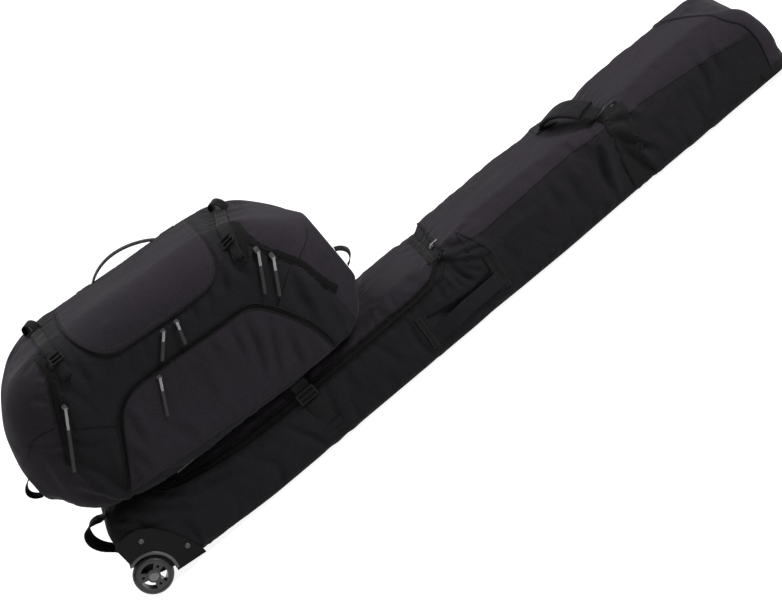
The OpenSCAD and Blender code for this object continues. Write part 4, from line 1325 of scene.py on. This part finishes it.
# ---- duffel's zips and pocket --------------------------------------------------------------------
def run_down(z):
    """How far down the flap's length a height over the top lies, past the crest."""
    return FLAT_RUN + RIDGE_R * math.acos(max(-1.0, min(1.0, 1 + z / RIDGE_R)))


MOUTH = ([(MOUTH_OUTLINE[0][0], 14)] + [(x, run_down(min(z, -2))) for x, z in MOUTH_OUTLINE[1:-1]]
         + [(MOUTH_OUTLINE[-1][0], 14)])
zip_flat = flap_centre + (rounded(MOUTH, 1) - flap_centre) * 1.03
mouth_line = np.array([wrap(xl, s) for xl, s in resample(zip_flat, 6)])
sew("main_zip_cloth", ribbon(mouth_line, duffel_skin, 12, 1.0, 0.2), "zip_tape", "duffel", "main_zip_tape")
sew("main_zip_teeth", bricks(mouth_line, duffel_skin, 3.0, (1.7, 3.0, 1.3), lift=1.0, swing=0.8), "coil",
    "duffel", slot="zip_tape")

all_welts, all_cords = [], []
for line in (END_ZIP_R, END_ZIP_L):
    path = side_path(line, duffel_skin)
    across = unit(np.cross(tangents(path), [0, -1, 0]))
    all_welts.append(ribbon(path, duffel_skin, 15, 1.4, 0.1, crown=1.6))
    all_cords += [laid_tube(path + across * o, duffel_skin, 1.6, 0.2) for o in (-8.5, 8.5)]
sew("end_zip_cloth", joined(*all_welts), "zip_tape", "duffel", "end_zip_tapes")
sew("end_zip_piping", joined(*all_cords), "piping", "duffel", slot="body_fabric")


def pocket_foot(x):
    """Height of the pocket's bottom seam."""
    return 213 - (x - 400) * math.tan(DUF_SLOPE)


POCKET = rounded([(140, pocket_foot(140)), (162, 272), (196, 322), (222, 366), (252, 396), (296, 409),
                  (400, 400), (520, 388), (556, 388),
                  (590, 374), (622, 324), (644, 276), (656, 226), (654, pocket_foot(654))], 2, closed=False)
POCKET_FOLDS = [([(562, 372), (548, 336), (536, 300)], 8, 2.2),
                ([(572, 352), (548, 310), (516, 254)], 8, 2.4),
                ([(592, 328), (566, 280), (540, 230)], 8, 2.4),
                ([(608, 280), (594, 236), (582, 206)], 8, 2.2),
                ([(530, 376), (518, 340), (510, 310)], 8, 1.8), ([(480, 384), (472, 350)], 8, 1.5),
                ([(250, 384), (244, 340), (232, 300)], 9, 2.0),
                ([(200, 320), (210, 280), (206, 240)], 9, 2.0),
                ([(300, 300), (320, 260), (318, 232)], 12, 1.4), ([(420, 330), (410, 280)], 12, 1.4)]
POCKET_GATHERS = puckers([(190, 310), (222, 360), (262, 396), (300, 404), (400, 396), (520, 384),
                          (560, 380)], 17, 46, 4.5, 1.1,
                         31, -1) + puckers([(180, 236), (640, 196)], 24, 44, 5.5, 1.0, 32, 1)


def pocket_surface():
    cols = np.arange(132, 668, 6.0)
    rows = np.arange(pocket_foot(668) - 8, 416, 6.0)
    flat_points = np.array([(x, z) for z in rows for x in cols])
    depth = -signed_distance(flat_points, POCKET)
    swell = 2.5 + 6.0 * (1 - np.exp(-np.maximum(depth, 0) / 26))
    swell += FOLD_GAIN * crease(flat_points, POCKET_FOLDS) + crease(flat_points, POCKET_GATHERS)
    base = np.array([duffel_skin.side(x, z) for x, z in flat_points])
    base[:, 1] = np.maximum(base[:, 1] - swell, -DUF_FRONT - 11)
    return make("pocket_blank", base, [f[::-1] for f in grid_faces(len(rows), len(cols))], "panel_fabric")


def pocket_field(points):
    return signed_distance(points[:, [0, 2]], POCKET)


pocket, waste = cut_apart(pocket_surface(), pocket_field, ("pocket_cloth", "waste"))
bpy.data.objects.remove(waste)
cloth_piece(pocket, "pocket", "panel_fabric", "front_pocket", 2.4, sharp=None)
pocket_skin = Skin(pocket)
pocket_edge = np.array([duffel_skin.side(x, z) for x, z in resample(POCKET, 6)])
sew("pocket_zip_cloth", ribbon(pocket_edge, duffel_skin, 15, 1.2, 0.1, crown=0.8), "zip_tape", "duffel")
pocket_line = resample(POCKET, 6)
d = tangents(pocket_line)
outward = np.column_stack([-d[:, 1], d[:, 0]])
outer = pocket_line + 9 * outward
outer_line = np.array([duffel_skin.side(x, z) for x, z in outer])
sew("pocket_piping", laid_tube(outer_line, duffel_skin, 1.8, 0.25), "piping", "duffel", slot="body_fabric")
rim = np.array([pocket_skin.side(x, z) for x, z in pocket_line - 1.5 * outward])
sew("pocket_rim", tube(rim + [0, 0.6, 0], 1.9), "piping", "pocket", slot="panel_fabric")

DUFFEL_SEAMS = [
    [(14, 410), (40, 440), (70, 452), (110, 446)],
    [(134, 427), (178, 396), (217, 363)],
    [(693, 387), (656, 366), (622, 344)],
    [(772, 401), (763, 393), (748, 391), (734, 391), (724, 387)],
]
# Thin cords on the duffel's seams in the zip tape's near-black: painted shade standing in for the shadow in
# the seam grooves
parts = [laid_tube(side_path(line, duffel_skin), duffel_skin, 1.0, 0.3) for line in DUFFEL_SEAMS]
sew("duffel_seam_shade_lines", joined(*parts), "zip_tape", "duffel")

# ---- webbing on the duffel -----------------------------------------------------------------------
HAUL_X = (-84.0, 102.0)
HAUL_Y = 76.0
u = np.linspace(0, 1, 30)
hoop = np.maximum(np.sin(np.pi * u), 0)
bow = np.column_stack([HAUL_X[0] + (HAUL_X[1] - HAUL_X[0]) * u - 10 * np.sin(np.pi * u),
                       np.full(30, HAUL_Y), 10 + 42 * hoop ** 0.62])
path = from_top(bow)
sew("haul_webbing", band(path, (0, 1, 0), 22, 2.4), "webbing", "haul_handle", "duffel_handle")
feet = []
for start, way in ((HAUL_X[0], -1), (HAUL_X[1], 1)):
    line = from_top([(start + way * k, HAUL_Y, 30.0) for k in (0, 12, 24, 34)])
    line = np.array([duffel_skin.hit(p, (0, 0, -1))[0] for p in line])
    feet.append(ribbon(line, duffel_skin, 22, 2.2, 0.2))
sew("haul_webbing_feet", joined(*feet), "webbing", "duffel", "handle_anchors")

straps, glides = [], []
STRAP_END = FLAT_RUN + RIDGE_R * 1.05
for x_back, x_front in ((-234.0, -206.0), (240.0, 219.0)):
    run = np.arange(24, STRAP_END, 6)
    line = np.array([wrap(x_back + (x_front - x_back) * s / STRAP_END, s, 1.0) for s in run])
    straps.append(ribbon(line, duffel_skin, 25, 2.0, 2.4))
    foot, other = wrap(x_back - 13, 10, 1.0), wrap(x_back + 13, 36, 1.0)
    arch = np.linspace(0, math.pi, 14)
    hump = np.array([foot + (other - foot) * (1 - math.cos(a)) / 2 + [0, 0, 24 * max(math.sin(a), 0) ** 0.7]
                     for a in arch])
    straps.append(band(hump, (0.7, 0.7, 0), 22, 2.0, 4.0))
    at = np.array([wrap(x_front, s) for s in (FLAT_RUN + RIDGE_R * 0.5, FLAT_RUN + RIDGE_R * 0.68)])
    place, normal = duffel_skin.near(at.mean(0))
    down = unit(at[1] - at[0])
    over = np.cross(down, normal)
    frame_lock = lock_frame(0, 0, 0, 34, 24)
    matrix = np.column_stack([over, -normal, -down])
    glides.append(turned(frame_lock, matrix, place + normal * 4.0 + down * 12))
sew("corner_webbing", joined(*straps), "webbing", "duffel", "corner_straps")
sew("corner_glides", joined(*glides), "buckle_plastic", "duffel", "tri_glides", sharp=40)


def end_loop(y, z, direction, tilt):
    """A webbing loop that stands out of the duffel's end."""
    u = np.linspace(0, 1, 20)
    out = (1.5 + 20 * np.maximum(np.sin(np.pi * u), 0) ** 0.7) * direction
    starts = [(900 * direction + 400, y, z + 23 - 46 * k) for k in u]
    x_face = np.array([duffel_skin.hit(start, (-direction, 0, 0))[0][0] for start in starts])
    path = np.column_stack([x_face + out, np.full(20, y), z + 23 - 46 * u])
    return band(path, (tilt, 1, 0), 23, 2.0)


sew("right_loop", end_loop(-44, 289, 1, 0.35), "webbing", "duffel", "haul_loop_right")
sew("left_loop", end_loop(-44, 334, -1, 0.35), "webbing", "duffel", "haul_loop_left")

# ---- sliders and pulls ---------------------------------------------------------------------------
def slider_at(cad, body):
    """A zip slider: a body and a narrow bridge, in the CAD slider's box."""
    low, high = span(cad)
    c = (low + high) / 2
    w, d, h = high - low
    body_block = block((c[0] - w / 2, c[1] - d / 2 + 1, low[2]), (c[0] + w / 2, high[1], high[2]), 1.3)
    bridge = block((c[0] - 1.4, low[1], c[2] - h * 0.3), (c[0] + 1.4, c[1], c[2] + h * 0.3), 0.7)
    sew(cad + "_metal", joined(body_block, bridge), "slider_metal", body, cad, sharp=40)


def pull_at(cad, body, pivot, length, lean):
    """A pull: a short printed tab on the slider, then a moulded cord end."""
    a = math.radians(lean)
    out = np.array([[math.cos(a), 0, math.sin(a)], [0, 1, 0], [-math.sin(a), 0, math.cos(a)]])
    low, high = span(cad)
    y = (low[1] + high[1]) / 2
    tab = block((-3, -0.9, -length * 0.34), (3, 0.9, 2), 0.8)
    grip_part = block((-3.9, -1.7, -length), (3.9, 1.7, -length * 0.32), 1.5)
    ribs = [block((-4.1, -1.9, -length * k), (4.1, 1.9, -length * k + 1.6), 0.5)
            for k in (0.5, 0.58, 0.66, 0.9)]
    place = np.array([pivot[0], y, pivot[1]])
    tabbed = turned(tab, out, place)
    gripped = turned(joined(grip_part, *ribs), out, place)
    sew(cad + "_grip", gripped, "pull_grip", body, cad, sharp=45)
    sew(cad + "_tab", tabbed, "tab_print", body, slot="slider_metal", sharp=45)


slider_at("main_slider_a", "slider_a")
slider_at("main_slider_b", "slider_b")
slider_at("pocket_slider", "pocket_zip_slider")
END_SLIDERS = [(158, 470), (666, 462), (682, 432)]
end_face = span("end_sliders")[1][1]
blocks = []
for x, z in END_SLIDERS:
    y0 = duffel_skin.side(x, z)[1]
    blocks.append(joined(block((x - 5, min(y0, end_face) - 4.5, z - 5), (x + 5, y0 - 0.5, z + 8), 1.3),
                         block((x - 1.4, min(y0, end_face) - 6, z - 3), (x + 1.4, y0 - 3, z + 4), 0.7)))
sew("end_slider_metal", joined(*blocks), "slider_metal", "duffel", "end_sliders", sharp=40)
pull_at("main_pull_a", "pull_a", (413, 462), 62, 43)
pull_at("main_pull_b", "pull_b", (446, 459), 50, 19)
pull_at("pocket_pull", "pocket_zip_pull", (344, 392), 84, 29)
pull_at("end_pull_left", "pull_left", END_SLIDERS[0], 140, 33)
pull_at("end_pull_right_a", "pull_right_a", END_SLIDERS[1], 90, 30)
pull_at("end_pull_right_b", "pull_right_b", END_SLIDERS[2], 84, 30)

rs_low, rs_high = span("roller_slider")
c = (rs_low + rs_high) / 2
parts = [block((rs_low[0], rs_low[1], rs_low[2]), (rs_high[0], rs_high[1], rs_high[2] - 1.5), 1.2),
         block((c[0] - 1.5, c[1] - 4, rs_high[2] - 2.5), (c[0] + 1.5, c[1] + 4, rs_high[2]), 0.6)]
sew("roller_slider_metal", joined(*parts), "slider_metal", "zip_slider", "roller_slider", sharp=40)
rp_low, rp_high = span("roller_pull")
mid_y = (rp_low[1] + rp_high[1]) / 2
tab = block((rp_low[0], mid_y - 3, rp_low[2] + 0.8), (rp_low[0] + 30, mid_y + 3, rp_high[2] - 0.8), 0.6)
cord_end = block((rp_low[0] + 27, mid_y - 4, rp_low[2]), (rp_high[0], mid_y + 4, rp_high[2]), 1.3)
sew("roller_pull_grip", cord_end, "pull_grip", "zip_pull", "roller_pull", sharp=45)
sew("roller_pull_tab", tab, "tab_print", "zip_pull", slot="slider_metal", sharp=45)


# ---- inside --------------------------------------------------------------------------------------
def soft_board(name, body, material, cad):
    """A padded board in a CAD node's box, with rounded edges."""
    low, high = span(cad)
    bevel = min((high - low).min() * 0.45, 3.0)
    pad = sew(name, block(low, high, bevel), material, body, cad, sharp=50)


soft_board("floor_foam", "roller", "foam", "floor_pad")
soft_board("boot_divider_pad", "duffel", "lining", "boot_divider")
low, high = span("ski_straps")
parts = []
for x in (470.0, 860.0):
    y = np.linspace(low[1], high[1], 24)
    z = low[2] + 0.4 + 0.6 * np.abs(np.sin(y / 37))
    parts.append(band(np.column_stack([np.full(24, x), y, z + 0.8]), (1, 0, 0), 38, 1.6))
sew("ski_strap_webbing", joined(*parts), "webbing", "roller", "ski_straps")

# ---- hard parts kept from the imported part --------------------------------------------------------
FINISH = {
    "moulded_plastic": ["wheel_housing_near", "wheel_housing_far"],
    "fastener_steel": ["housing_rivets", "axle_nuts"],
    "bearing_steel": ["bearings_near", "bearings_far", "axle_near", "axle_far"],
    "hub_plastic": ["wheel_hub_near", "wheel_hub_far"],
    "tyre_rubber": ["tyre_near", "tyre_far"],
    "stiffener": ["base_board", "tail_board", "duffel_base_board"],
    "buckle_plastic": ["ski_strap_buckles"],
}
for material, cad_nodes in FINISH.items():
    for cad in cad_nodes:
        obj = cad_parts[cad]
        obj.data.materials.clear()
        obj.data.materials.append(MAT[material])

# The pale rims of the wheel arches
ARCH_R = 54.0
RIM_SECTION = np.array([(-3.2, -6), (3.2, -6), (3.6, 1.6), (2.4, 2.8), (-2.4, 2.8), (-3.6, 1.6)])
axle = (span("axle_near")[0] + span("axle_near")[1]) / 2
a = np.radians(np.linspace(-20, 114, 30))
radial = np.column_stack([np.cos(a), np.zeros(30), np.sin(a)])
line = np.array([axle[0], -HALF_W - 1.5, axle[2]]) + ARCH_R * radial
arch_rim = sweep(line, radial, np.tile([0.0, -1.0, 0.0], (30, 1)), RIM_SECTION)
sew("arch_rims", joined(arch_rim, mirrored(arch_rim)), "fender_edge", "roller", slot="moulded_plastic",
    sharp=50)

# ---- camera, light and floor ---------------------------------------------------------------------
AIM = ORIGIN + [0.811, 0, 0.125]
ELEVATION = math.radians(20)
ROLL = math.radians(39.98)
DISTANCE = 4.6
LENS = 96.77
view_dir = np.array([0, math.cos(ELEVATION), -math.sin(ELEVATION)])
right = np.array([1.0, 0, 0])
up = np.cross(right, view_dir)
screen_right = math.cos(ROLL) * right - math.sin(ROLL) * up
screen_up = math.sin(ROLL) * right + math.cos(ROLL) * up
camera = bpy.data.objects.new("camera", bpy.data.cameras.new("camera"))
bpy.context.scene.collection.objects.link(camera)
camera.data.lens = LENS
camera.data.sensor_width = 36
camera.data.clip_start, camera.data.clip_end = 0.05, 100
columns = [(*screen_right, 0), (*screen_up, 0), (*-view_dir, 0), (*(AIM - view_dir * DISTANCE), 1)]
camera.matrix_world = Matrix(columns).transposed()
bpy.context.scene.camera = camera


def area_light(name, place, size, power, aim=(0, 0, 0.2)):
    data = bpy.data.lights.new(name, "AREA")
    data.shape = "RECTANGLE"
    data.size, data.size_y = size
    data.energy = power
    obj = bpy.data.objects.new(name, data)
    bpy.context.scene.collection.objects.link(obj)
    obj.location = place
    obj.rotation_mode = "QUATERNION"
    obj.rotation_quaternion = (Vector(aim) - Vector(place)).to_track_quat("-Z", "Y")


area_light("key", (2.9, -1.7, 2.9), (1.3, 1.3), 240)
area_light("top", (-0.6, 0.9, 3.4), (2.6, 1.6), 120)
area_light("front", (-2.6, -2.8, 1.2), (1.2, 1.2), 16)

world = bpy.data.worlds.new("studio")
world.use_nodes = True
world.node_tree.nodes["Background"].inputs["Color"].default_value = (1, 1, 1, 1)
world.node_tree.nodes["Background"].inputs["Strength"].default_value = 0.22
bpy.context.scene.world = world


def backdrop(name, corners, glow):
    """A pale studio sheet that gives a little light of its own."""
    mesh = bpy.data.meshes.new(name)
    mesh.from_pydata(corners, [], [(0, 1, 2, 3)])
    mat, _, bsdf = new_material(name)
    bsdf.inputs["Base Color"].default_value = (0.25, 0.25, 0.25, 1)
    bsdf.inputs["Roughness"].default_value = 0.9
    bsdf.inputs["Emission Color"].default_value = (1, 1, 1, 1)
    bsdf.inputs["Emission Strength"].default_value = glow
    mesh.materials.append(mat)
    obj = bpy.data.objects.new(name, mesh)
    bpy.context.scene.collection.objects.link(obj)


backdrop("floor", [(-30, -30, 0), (30, -30, 0), (30, 30, 0), (-30, 30, 0)], 0.9)
backdrop("wall", [(-9, 8.9, 0), (9, 8.9, 0), (9, 8.9, 9), (-9, 8.9, 9)], 1.0)
bpy.context.scene.view_settings.view_transform = "Standard"
